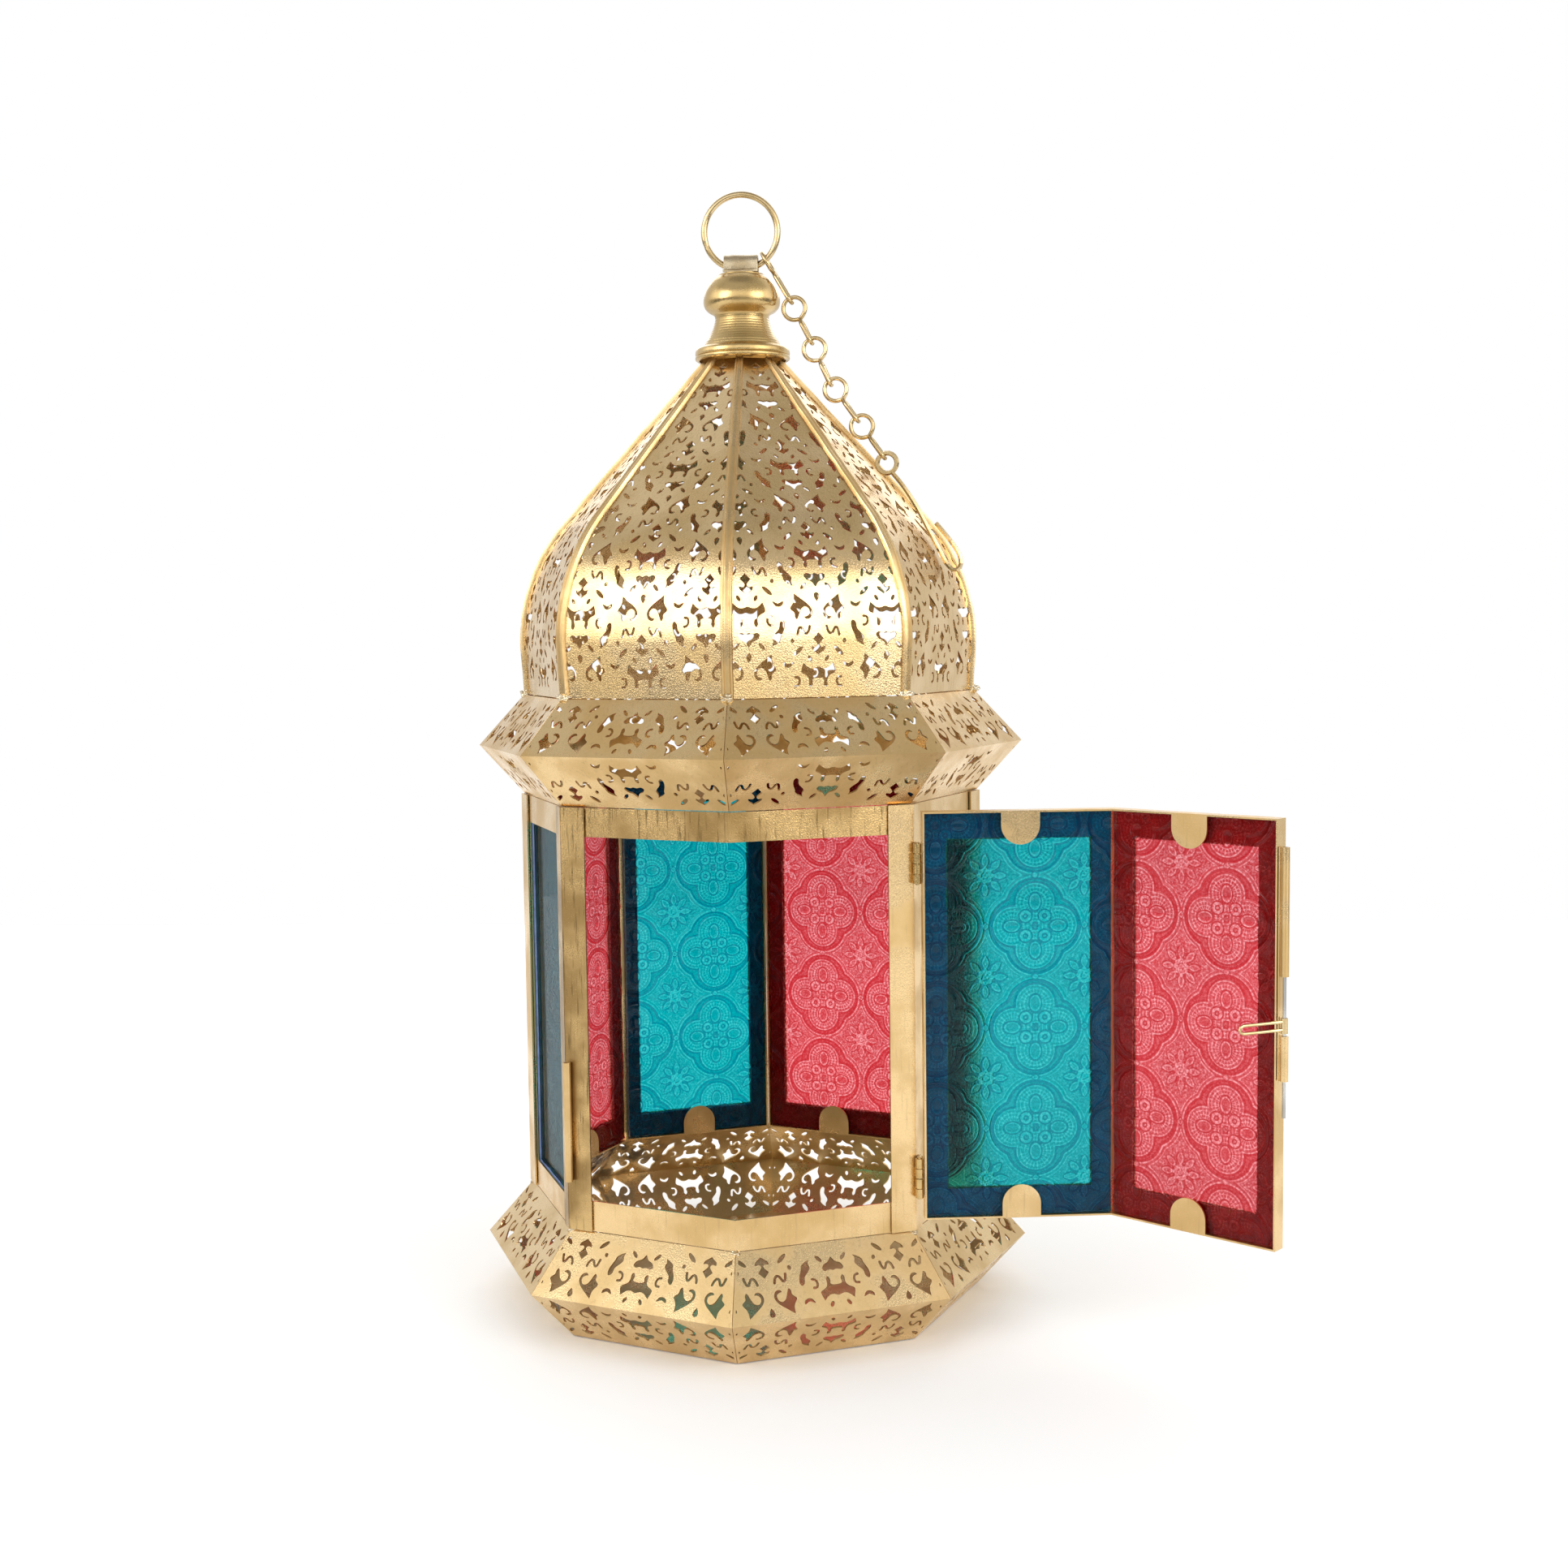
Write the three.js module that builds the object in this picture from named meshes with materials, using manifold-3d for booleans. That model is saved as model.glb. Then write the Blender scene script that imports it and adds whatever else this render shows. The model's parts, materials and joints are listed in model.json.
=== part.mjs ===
// Eight-sided candle lantern: pierced dome, eave and base, glazed body, two-panel door, ring and chain.
// Millimetres, +Z up, origin at the centre of the base. A corner of the octagon points along -Y, at the door.
import * as THREE from "three";
import { mergeVertices } from "three/addons/utils/BufferGeometryUtils.js";
import Module from "manifold-3d";

const wasm = await Module();
wasm.setup();

// ---- driving dimensions ----
const SIDES = 8;
const STEP = (2 * Math.PI) / SIDES;
const TAN = Math.tan(STEP / 2);
const COS = Math.cos(STEP / 2);
const SHEET = 0.6; // sheet metal thickness
const GAP = 0.3; // clearance left between touching pieces
const BLANK = 60; // half the length of an uncut panel
const REACH = 130; // further from the axis than any panel
const MERGE = -0.2; // sheets bent from one piece run this far past a corner plane, to join there

const BASE_FOOT = 78.2; // distances from the axis to a flat side
const BASE_EDGE = 94.3;
const BODY = 78.3;
const EAVE_EDGE = 93.6;
const BASE_EDGE_Z = 18.65;
const BODY_Z = 38.6;
const BODY_TOP_Z = 186.5;
const EAVE_EDGE_Z = 204.9;
const DOME_Z = 223.8;

const DOME_BEND_Z = 242; // the dome leaves the vertical here
const DOME_BEND_R = 68; // radius of the bend, measured on the corner ribs
const DOME_BEND_CENTRE = 17.2;
const DOME_LEAN = 1.1; // the foot of the dome stands in by this much
const DOME_CONE = THREE.MathUtils.degToRad(42.4); // the cone's angle from the vertical
const DOME_TOP_Z = 344.4;
const DOME_FOOT = BODY - SHEET; // where the eave meets the dome
const RIB_PROUD = 1.3;
const RIB_WIDTH = 1.7; // half of a folded seam

const FLANGE = 5.4; // depth of a window tray
const GLASS = 3.6;
const BORDER_SIDE = 8.8; // tray border round the window
const BORDER_END = 10;
const TAB_WIDTH = 13.3;
const TAB_HEIGHT = 11;

const LEFT_POST = 9.5;
const RIGHT_POST = 9;
const POST_RETURN = 6; // the part of a post bent round the corner
const LAP = 9; // seam lap at the side corners
const RAIL_TOP = 10;
const RAIL_BOTTOM = 10.6;

const DOOR_BACK = BODY + GAP + SHEET + GAP; // edge of the closed door's flanges
const DOOR_FACE = DOOR_BACK + FLANGE;
const DOOR_LOW_Z = 43.3;
const DOOR_HIGH_Z = 184.2;
const DOOR_HINGE_EDGE = 31.7; // from the middle of a closed door panel to its outer edge
const DOOR_FREE_EDGE = 28.9;
const DOOR_OPEN = THREE.MathUtils.degToRad(163.5);

const KNUCKLE_R = 1.4;
const PIN_R = 0.6;
const HINGE_HEIGHT = 14;
const HINGE_Z = [57.5, 166.5];
const KNUCKLES = 4;
const KNUCKLE_SIDES = 12; // facets of a bore or pin
const LEAF = 0.4; // hinge leaf thickness
const LEAF_WIDTH = 3;
const PIN_OUT = DOOR_BACK + 1.7; // hinge pin from the axis, square to the closed door panel
const PIN_ALONG = DOOR_HINGE_EDGE + 1.7;

const ROD_R = 0.6;
const TUBE_IN = 0.85;
const TUBE_OUT = 1.35;
const ROD_OUT = DOOR_BACK + 1.4;
const ROD_ALONG = DOOR_FREE_EDGE + 2.15;
const ROD_Z = [87.5, 160];
const UPPER_GUIDE_Z = [133.5, 175.2];
const LOWER_GUIDE_Z = [99.5, 114.2];
const POST_TUBE_Z = [56, 98];
const HANDLE_Z = 117.6;
const HANDLE_LENGTH = 17;
const HANDLE_TURN = THREE.MathUtils.degToRad(64); // inward from the door panel, door open
const HAIRPIN = 1.3; // half the distance between the hairpin's legs

const FINIAL_Z = 344.9;
const FINIAL_TOP_Z = 376;
const RING_Z = 391.4;
const RING_R = 13.38;
const RING_WIRE = 1.2;
const STRAP_WIDTH = 12.4;
const STRAP_IN = 3;
const STRAP = 0.8;

const CHAIN_AZIMUTH = THREE.MathUtils.degToRad(-12);
const CHAIN_WIRE = 0.75;
const EYE_R = 4.1;
const LOOP_R = 1.8;
const HOOK_WIRE = 0.9;
const HOOK_EYE_R = 3.6;
const HOOK_EYE = [53.8, 306];
const FLOOR = 0.8;

// ---- materials ----
const finish = (color, roughness, metalness, opacity = 1) =>
  new THREE.MeshStandardMaterial({ color, roughness, metalness, opacity, transparent: opacity < 1 });
const gold = () => finish(0xccab6b, 0.4, 0.9);
const steel = () => finish(0x8f8d86, 0.35, 1);
const blueGlass = () => finish(0x079fb2, 0.15, 0, 0.6);
const redGlass = () => finish(0xc4303f, 0.15, 0, 0.6);

// ---- solids ----
function solid(geometry) {
  const bare = geometry.index ? geometry.toNonIndexed() : geometry.clone();
  bare.deleteAttribute("normal");
  bare.deleteAttribute("uv");
  const merged = mergeVertices(bare, 1e-4);
  return new wasm.Manifold(
    new wasm.Mesh({
      numProp: 3,
      vertProperties: merged.attributes.position.array,
      triVerts: new Uint32Array(merged.index.array),
    }),
  );
}

function geometryOf(body) {
  const mesh = body.getMesh();
  const geometry = new THREE.BufferGeometry();
  geometry.setAttribute("position", new THREE.BufferAttribute(mesh.vertProperties, 3));
  geometry.setIndex(new THREE.BufferAttribute(mesh.triVerts, 1));
  return geometry;
}

const join = (bodies) => bodies.reduce((sum, body) => sum.add(body));
const path2 = (points) => new THREE.Shape(points.map(([x, y]) => new THREE.Vector2(x, y)));

// An outline in the x-y plane, raised from z low to z high.
function prism(points, low, high) {
  const geometry = new THREE.ExtrudeGeometry(path2(points), { depth: high - low, bevelEnabled: false });
  return geometry.translate(0, 0, low);
}

// An outline given as (distance from the axis, height), drawn out along the panel, which runs along x.
function drawn(points, width) {
  const geometry = new THREE.ExtrudeGeometry(path2(points), { depth: width, bevelEnabled: false });
  geometry.applyMatrix4(new THREE.Matrix4().makeBasis(
    new THREE.Vector3(0, 1, 0), new THREE.Vector3(0, 0, 1), new THREE.Vector3(1, 0, 0)));
  return geometry.translate(-width / 2, 0, 0);
}

const box = (x0, x1, y0, y1, z0, z1) =>
  new THREE.BoxGeometry(x1 - x0, y1 - y0, z1 - z0).translate((x0 + x1) / 2, (y0 + y1) / 2, (z0 + z1) / 2);

const cylinder = (radius, low, high, segments = 16) =>
  new THREE.CylinderGeometry(radius, radius, high - low, segments)
    .rotateX(Math.PI / 2)
    .translate(0, 0, (low + high) / 2);

// A round wire along a curve.
function wire(curve, radius, steps, sides = 8) {
  const section = new THREE.Shape();
  section.absarc(0, 0, radius, 0, 2 * Math.PI, false);
  return new THREE.ExtrudeGeometry(section, { steps, curveSegments: sides, extrudePath: curve });
}

// A panel stands at +Y of its own frame: x along the side, y away from the axis.
// Its mitre leaves `left` and `right` clear of the corner planes.
function mitre(left, right) {
  const low = -1;
  const high = DOME_TOP_Z + 1;
  const near = 6;
  const edge = (y, clear) => y * TAN - clear / COS;
  return solid(prism([
    [-edge(near, left), near],
    [edge(near, right), near],
    [edge(REACH, right), REACH],
    [-edge(REACH, left), REACH],
  ], low, high));
}

// The polyline and its parallel at `offset` towards the axis, closed into an outline.
function sheetOutline(points, offset) {
  const inner = points.map((point, i) => {
    const before = points[Math.max(i - 1, 0)];
    const after = points[Math.min(i + 1, points.length - 1)];
    const along = new THREE.Vector2(after[0] - before[0], after[1] - before[1]).normalize();
    return [point[0] - offset * along.y, point[1] + offset * along.x];
  });
  return [...points, ...inner.reverse()];
}

// Turns a panel from its own frame to side k, counted anticlockwise from the front corner.
const sideAngle = (k) => -Math.PI / 2 + (k + 0.5) * STEP - Math.PI / 2;

const lantern = new THREE.Group();

function place(parent, name, body, material, position = [0, 0, 0], turn = 0) {
  const geometry = body.isBufferGeometry ? body : geometryOf(body);
  const mesh = new THREE.Mesh(geometry, material);
  mesh.name = name;
  mesh.position.set(...position);
  mesh.rotation.z = turn;
  parent.add(mesh);
  return mesh;
}

// ---- pierced bands and dome: eight panels each ----
function bandPanel(profile) {
  const outline = sheetOutline(profile, SHEET);
  return solid(drawn(outline, 2 * BLANK)).intersect(mitre(GAP / 2, GAP / 2));
}

function domeProfile(proud) {
  const radius = DOME_BEND_R - RIB_PROUD + proud;
  const points = [[DOME_BEND_CENTRE + radius - DOME_LEAN, DOME_Z]];
  const bends = 8;
  for (let i = 0; i <= bends; i += 1) {
    const angle = (DOME_CONE * i) / bends;
    points.push([DOME_BEND_CENTRE + radius * Math.cos(angle), DOME_BEND_Z + radius * Math.sin(angle)]);
  }
  const [r, z] = points[points.length - 1];
  points.push([r - (DOME_TOP_Z - z) * Math.tan(DOME_CONE), DOME_TOP_Z]);
  return points.map(([cornerRadius, height]) => [cornerRadius * COS, height]);
}

function domePanel() {
  const sheet = solid(drawn(sheetOutline(domeProfile(0), SHEET), 2 * BLANK));
  const seams = solid(drawn(sheetOutline(domeProfile(RIB_PROUD), RIB_PROUD + SHEET), 2 * BLANK));
  const between = mitre(GAP / 2 + RIB_WIDTH, GAP / 2 + RIB_WIDTH);
  const trimmed = solid(box(-BLANK, BLANK, 0, REACH, DOME_Z, DOME_TOP_Z));
  return sheet.add(seams.subtract(between)).intersect(mitre(GAP / 2, GAP / 2)).intersect(trimmed);
}

const basePanel = bandPanel([[BASE_FOOT, 0], [BASE_EDGE, BASE_EDGE_Z], [BODY, BODY_Z - GAP]]);
const eavePanel = bandPanel([[BODY, BODY_TOP_Z + GAP], [EAVE_EDGE, EAVE_EDGE_Z], [DOME_FOOT, DOME_Z - GAP]]);
const dome = domePanel();
for (let k = 0; k < SIDES; k += 1) {
  place(lantern, `base_panel_${k + 1}`, basePanel, gold(), [0, 0, 0], sideAngle(k));
  place(lantern, `eave_panel_${k + 1}`, eavePanel, gold(), [0, 0, 0], sideAngle(k));
  place(lantern, `dome_panel_${k + 1}`, dome, gold(), [0, 0, 0], sideAngle(k));
}

const FLOOR_INSET = 1.4;
const floorRadius = (BASE_FOOT - FLOOR_INSET) / COS;
const floorPlate = new THREE.CylinderGeometry(floorRadius, floorRadius, FLOOR, SIDES)
  .rotateX(Math.PI / 2)
  .translate(0, 0, FLOOR / 2);
place(lantern, "floor_plate", floorPlate, gold());

// ---- window trays ----
// A clip tab with a round end, hanging from the tray's end flange over the pane.
function clipTab(inner, endZ, direction) {
  const half = TAB_WIDTH / 2;
  const tip = TAB_HEIGHT - half;
  const shape = new THREE.Shape();
  shape.moveTo(-half, -SHEET);
  shape.lineTo(half, -SHEET);
  shape.lineTo(half, tip);
  shape.absarc(0, tip, half, 0, Math.PI, false);
  shape.closePath();
  const geometry = new THREE.ExtrudeGeometry(shape, { depth: SHEET, bevelEnabled: false, curveSegments: 10 });
  geometry.rotateX(Math.PI / 2);
  if (direction < 0) geometry.rotateY(Math.PI);
  return solid(geometry.translate(0, inner + SHEET, endZ));
}

// One side of a tray. `face` is its outer face, and left and right say where it ends:
// {corner, flange} at a corner plane, or {edge} at a distance from the panel's middle.
function traySide(face, low, high, left, right) {
  const inner = face - FLANGE;
  const clear = (end) => (end.edge === undefined ? end.corner : -REACH);
  const limit = (end) => (end.edge === undefined ? BLANK : end.edge);
  const x0 = -limit(left);
  const x1 = limit(right);
  const cut = (more) => mitre(clear(left) + more.left, clear(right) + more.right)
    .intersect(solid(box(x0 + more.leftEdge, x1 - more.rightEdge, 0, REACH, low - 1, high + 1)));
  const none = { left: 0, right: 0, leftEdge: 0, rightEdge: 0 };
  const flangeOf = (end) => (end.flange ? SHEET : -SHEET);
  const walls = {
    left: left.edge === undefined ? flangeOf(left) : 0,
    right: right.edge === undefined ? flangeOf(right) : 0,
    leftEdge: left.edge === undefined ? 0 : SHEET,
    rightEdge: right.edge === undefined ? 0 : SHEET,
  };
  const block = solid(box(-BLANK, BLANK, inner, face, low, high)).intersect(cut(none));
  const room = box(-BLANK, BLANK, inner - 1, face - SHEET, low + SHEET, high - SHEET);
  const hollow = solid(room).intersect(cut(walls));
  const end = (side) => Math.min(limit(side), face * TAN) - BORDER_SIDE;
  const window = solid(box(-end(left), end(right), inner, face + 1, low + BORDER_END, high - BORDER_END));
  const middle = (end(right) - end(left)) / 2;
  const tabs = clipTab(inner, low + SHEET, 1).add(clipTab(inner, high - SHEET, -1)).translate([middle, 0, 0]);
  return block.subtract(hollow).subtract(window).add(tabs);
}

const turned = (body, k) => body.rotate([0, 0, THREE.MathUtils.radToDeg(sideAngle(k))]);
const FOLD = { corner: MERGE, flange: false };
const SEAM = { corner: GAP / 2, flange: true };

// Side k runs from corner k, at the right of its own frame, to corner k + 1 at its left.
const wallSide = (k, left, right) => turned(traySide(BODY, BODY_Z, BODY_TOP_Z, left, right), k);

// A strip on side k from one of its corners over `width`; it starts `inner` from the axis.
function strip(k, end, width, inner, clear) {
  const face = BODY + GAP + SHEET;
  const corner = face * TAN;
  const spare = 2;
  const span = end > 0 ? [corner - width, corner + spare] : [-corner - spare, width - corner];
  const plate = solid(box(...span, inner, face, BODY_Z, BODY_TOP_Z));
  return turned(plate.intersect(mitre(clear, clear)), k);
}

// An angle strip round corner k, over sides k - 1 and k. A lap is welded to the tray of side k or k - 1.
function cornerStrip(k, before, after, weld = 0) {
  const over = BODY + GAP;
  const onto = BODY + MERGE;
  const first = strip(k - 1, -1, before, weld < 0 ? onto : over, weld < 0 ? 0 : MERGE);
  const second = strip(k, 1, after, weld > 0 ? onto : over, weld < 0 ? MERGE : 0);
  return first.add(second);
}

const ANTICLOCKWISE = 1;
const CLOCKWISE = -1;
const LAP_RETURN = 3;
const backRight = join([
  wallSide(2, FOLD, SEAM),
  wallSide(3, SEAM, FOLD),
  cornerStrip(2, LAP, LAP_RETURN, ANTICLOCKWISE),
]);
const backLeft = join([
  wallSide(4, FOLD, SEAM),
  wallSide(5, SEAM, FOLD),
  cornerStrip(6, LAP_RETURN, LAP, CLOCKWISE),
]);
place(lantern, "wall_right", wallSide(1, SEAM, SEAM), gold());
place(lantern, "wall_back_right", backRight, gold());
place(lantern, "wall_back_left", backLeft, gold());
place(lantern, "wall_left", wallSide(6, SEAM, SEAM), gold());

// ---- fixed panes ----
function sideGroup(parent, k) {
  const group = new THREE.Group();
  group.rotation.z = sideAngle(k);
  parent.add(group);
  return group;
}

// A pane in a tray whose outer face is `face`, from x0 to x1 along the side.
function pane(group, name, face, low, high, x0, x1, material) {
  const clear = SHEET + GAP;
  const geometry = new THREE.BoxGeometry(x1 - x0, GLASS, high - low - 2 * clear);
  place(group, name, geometry, material, [(x0 + x1) / 2, face - clear - GLASS / 2, (low + high) / 2]);
}

const inside = BODY - SHEET - GAP - GLASS;
const paneHalf = inside * TAN - (GAP / 2 + SHEET + GAP) / COS;
for (let k = 1; k < SIDES - 1; k += 1) {
  const red = k % 2 === 1;
  const name = `${red ? "red" : "blue"}_pane_${k}`;
  const material = red ? redGlass() : blueGlass();
  pane(sideGroup(lantern, k), name, BODY, BODY_Z, BODY_TOP_Z, -paneHalf, paneHalf, material);
}

// ---- door surround ----
function rail(low, high) {
  const bar = solid(box(-BLANK, BLANK, BODY - SHEET, BODY, low, high));
  const rightHalf = bar.intersect(mitre(GAP / 2, MERGE));
  const leftHalf = bar.intersect(mitre(MERGE, GAP / 2));
  return turned(rightHalf, 0).add(turned(leftHalf, SIDES - 1));
}

place(lantern, "right_post", cornerStrip(1, RIGHT_POST, POST_RETURN), gold());
place(lantern, "left_post", cornerStrip(SIDES - 1, POST_RETURN, LEFT_POST), gold());
place(lantern, "top_rail", rail(BODY_TOP_Z - RAIL_TOP, BODY_TOP_Z), gold());
place(lantern, "bottom_rail", rail(BODY_Z, BODY_Z + RAIL_BOTTOM), gold());

// ---- door ----
// The door is drawn shut and turned open about its hinge pins.
const upright = new THREE.Vector3(0, 0, 1);
const pin = new THREE.Vector3(-PIN_ALONG, PIN_OUT, 0).applyAxisAngle(upright, sideAngle(0));
const swing = new THREE.Group();
swing.position.copy(pin);
swing.rotation.z = DOOR_OPEN;
lantern.add(swing);
const door = new THREE.Group();
door.position.copy(pin).negate();
swing.add(door);

const doorTray = (k, left, right) => turned(traySide(DOOR_FACE, DOOR_LOW_Z, DOOR_HIGH_Z, left, right), k);
const blueSide = doorTray(0, { edge: DOOR_HINGE_EDGE }, FOLD);
const redSide = doorTray(SIDES - 1, FOLD, { edge: DOOR_FREE_EDGE });
place(door, "door_frame", blueSide.add(redSide), gold());

const doorRight = sideGroup(door, 0);
const doorLeft = sideGroup(door, SIDES - 1);
const foldHalf = (DOOR_BACK + SHEET + GAP) * TAN - GAP;
const rim = SHEET + GAP;
const blueSpan = [rim - DOOR_HINGE_EDGE, foldHalf];
const redSpan = [-foldHalf, DOOR_FREE_EDGE - rim];
pane(doorRight, "door_blue_pane", DOOR_FACE, DOOR_LOW_Z, DOOR_HIGH_Z, ...blueSpan, blueGlass());
pane(doorLeft, "door_red_pane", DOOR_FACE, DOOR_LOW_Z, DOOR_HIGH_Z, ...redSpan, redGlass());

// ---- hinges ----
// Every other knuckle, from the `first`, round the pin of a hinge centred at `middle`.
function knuckles(first, middle) {
  const pitch = HINGE_HEIGHT / KNUCKLES;
  const barrels = [];
  for (let i = first; i < KNUCKLES; i += 2) {
    const low = middle - HINGE_HEIGHT / 2 + pitch * i + GAP / 2;
    barrels.push([low, low + pitch - GAP]);
  }
  return barrels;
}

// The pin is riveted into the knuckles of the leaf on the post.
function postLeaf(middle) {
  const along = (PIN_OUT - PIN_ALONG) * Math.SQRT1_2;
  const inner = BODY + GAP + SHEET + GAP;
  const barZ = [middle - HINGE_HEIGHT / 2, middle + HINGE_HEIGHT / 2];
  const edge = along - KNUCKLE_R - GAP;
  const bar = solid(box(edge - LEAF_WIDTH, edge, inner, inner + LEAF, ...barZ));
  const out = (PIN_OUT + PIN_ALONG) * Math.SQRT1_2;
  const barrels = knuckles(0, middle).map(([low, high]) => {
    const tongue = solid(box(along - KNUCKLE_R - LEAF_WIDTH, along, inner, inner + LEAF, low, high));
    return tongue.add(solid(cylinder(KNUCKLE_R, low, high)).translate([along, out, 0]));
  });
  const rod = solid(cylinder(PIN_R, barZ[0] - GAP, barZ[1] + GAP, KNUCKLE_SIDES)).translate([along, out, 0]);
  return join([bar, ...barrels, rod]);
}

function doorLeaf(middle) {
  const x1 = -DOOR_HINGE_EDGE - GAP;
  const barY = [PIN_OUT + KNUCKLE_R + GAP, PIN_OUT + LEAF_WIDTH];
  const bar = solid(box(x1 - LEAF, x1, ...barY, middle - HINGE_HEIGHT / 2, middle + HINGE_HEIGHT / 2));
  const barrels = knuckles(1, middle).map(([low, high]) => {
    const tongue = solid(box(x1 - LEAF, x1, PIN_OUT, barY[1], low, high));
    const barrel = solid(cylinder(KNUCKLE_R, low, high)).translate([-PIN_ALONG, PIN_OUT, 0]);
    const bore = solid(cylinder(PIN_R + GAP, low - 1, high + 1, KNUCKLE_SIDES));
    return tongue.add(barrel).subtract(bore.translate([-PIN_ALONG, PIN_OUT, 0]));
  });
  return join([bar, ...barrels]);
}

const hingeNames = ["lower", "upper"];
HINGE_Z.forEach((middle, i) => {
  place(sideGroup(lantern, 1), `${hingeNames[i]}_hinge_post_leaf`, postLeaf(middle), gold());
  place(doorRight, `${hingeNames[i]}_hinge_door_leaf`, doorLeaf(middle), gold());
});

// ---- slide bolt ----
function tube(low, high) {
  return solid(cylinder(TUBE_OUT, low, high)).subtract(solid(cylinder(TUBE_IN, low - 1, high + 1)));
}

function guides() {
  const face = DOOR_FREE_EDGE + GAP;
  const backEdge = ROD_OUT + 2;
  const footHalf = 0.7;
  const backing = box(face, face + LEAF, DOOR_BACK + GAP, backEdge, LOWER_GUIDE_Z[0], UPPER_GUIDE_Z[1]);
  const tubes = [LOWER_GUIDE_Z, UPPER_GUIDE_Z].map(([low, high]) => {
    const foot = solid(box(face + LEAF / 2, ROD_ALONG, ROD_OUT - footHalf, ROD_OUT + footHalf, low, high));
    const barrel = solid(cylinder(TUBE_OUT, low, high)).translate([ROD_ALONG, ROD_OUT, 0]);
    const bore = solid(cylinder(TUBE_IN, low - 1, high + 1)).translate([ROD_ALONG, ROD_OUT, 0]);
    return foot.add(barrel).subtract(bore);
  });
  return join([solid(backing), ...tubes]);
}

// A hairpin of wire that stands out along x from a small collar round the rod.
function handle() {
  const wireR = 0.55;
  const collarHalf = 2.5;
  const collar = solid(cylinder(ROD_R + 0.6, HANDLE_Z - collarHalf, HANDLE_Z + collarHalf));
  const bore = solid(cylinder(ROD_R + 0.2, HANDLE_Z - collarHalf - 1, HANDLE_Z + collarHalf + 1));
  const path = new THREE.CurvePath();
  const start = ROD_R + 0.4;
  const bend = HANDLE_LENGTH - HAIRPIN;
  const point = (x, dz) => new THREE.Vector3(x, 0, HANDLE_Z + dz);
  const turn = [];
  for (let i = 0; i <= 6; i += 1) {
    const angle = Math.PI / 2 - (Math.PI * i) / 6;
    turn.push(point(bend + HAIRPIN * Math.cos(angle), HAIRPIN * Math.sin(angle)));
  }
  path.add(new THREE.LineCurve3(point(start, HAIRPIN), turn[0]));
  path.add(new THREE.CatmullRomCurve3(turn));
  path.add(new THREE.LineCurve3(turn[6], point(start, -HAIRPIN)));
  return collar.add(solid(wire(path, wireR, 36, 4))).subtract(bore);
}

place(doorLeft, "latch_guides", guides(), gold());
place(doorLeft, "latch_rod", cylinder(ROD_R, ...ROD_Z, 12), steel(), [ROD_ALONG, ROD_OUT, 0]);
place(doorLeft, "latch_handle", handle(), gold(), [ROD_ALONG, ROD_OUT, 0], Math.PI + HANDLE_TURN);
const leftSide = sideGroup(lantern, SIDES - 1);
place(leftSide, "latch_keeper_tube", tube(...POST_TUBE_Z), gold(), [ROD_ALONG, ROD_OUT, 0]);

// ---- finial, strap and ring ----
function finial() {
  const top = FINIAL_TOP_Z;
  const low = FINIAL_Z;
  const outside = [
    [16.7, low], [17.3, low + 0.7], [17.3, low + 3.4], [16.6, low + 4.3], [14.5, low + 4.8], [13.7, low + 6],
    [12.1, low + 8.8], [10.5, low + 12.3], [9.8, low + 15.2], [10.3, low + 16.6], [12.5, low + 18],
    [13.8, low + 19.6], [14.1, low + 21.3], [13.6, low + 24], [12.4, low + 26.6], [10.7, low + 29],
    [8.5, top - 0.3], [8, top], [0, top],
  ];
  const hollow = [
    [0, top - 1.2], [7.4, top - 1.5], [11.4, low + 26], [12.8, low + 21.3], [8.5, low + 15.2],
    [12.6, low + 5.4], [15.8, low + 3], [15.8, low],
  ];
  const profile = [...outside, ...hollow, outside[0]].map(([r, z]) => new THREE.Vector2(r, z));
  return new THREE.LatheGeometry(profile, 28).rotateX(Math.PI / 2);
}

function strapEye() {
  const base = FINIAL_TOP_Z + GAP;
  const centre = base + STRAP_IN + 0.2;
  const out = STRAP_IN + STRAP;
  const foot = 5.4; // half the strap's length where it lies on the finial
  const shape = new THREE.Shape();
  shape.moveTo(foot, base);
  shape.lineTo(foot, base + STRAP);
  shape.lineTo(out, base + STRAP);
  shape.lineTo(out, centre);
  shape.absarc(0, centre, out, 0, Math.PI, false);
  shape.lineTo(-out, base + STRAP);
  shape.lineTo(-foot, base + STRAP);
  shape.lineTo(-foot, base);
  shape.lineTo(-STRAP_IN, base);
  shape.lineTo(-STRAP_IN, centre);
  shape.absarc(0, centre, STRAP_IN, Math.PI, 0, true);
  shape.lineTo(STRAP_IN, base);
  const bent = { depth: STRAP_WIDTH, bevelEnabled: false, curveSegments: 10 };
  return new THREE.ExtrudeGeometry(shape, bent)
    .rotateX(Math.PI / 2)
    .rotateZ(Math.PI / 2)
    .translate(-STRAP_WIDTH / 2, 0, 0);
}

const ring = new THREE.TorusGeometry(RING_R, RING_WIRE, 10, 36).rotateX(Math.PI / 2);
place(lantern, "finial", solid(finial()), gold());
place(lantern, "strap_eye", solid(strapEye()), gold());
place(lantern, "carry_ring", ring, gold(), [0, 0, RING_Z]);

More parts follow.
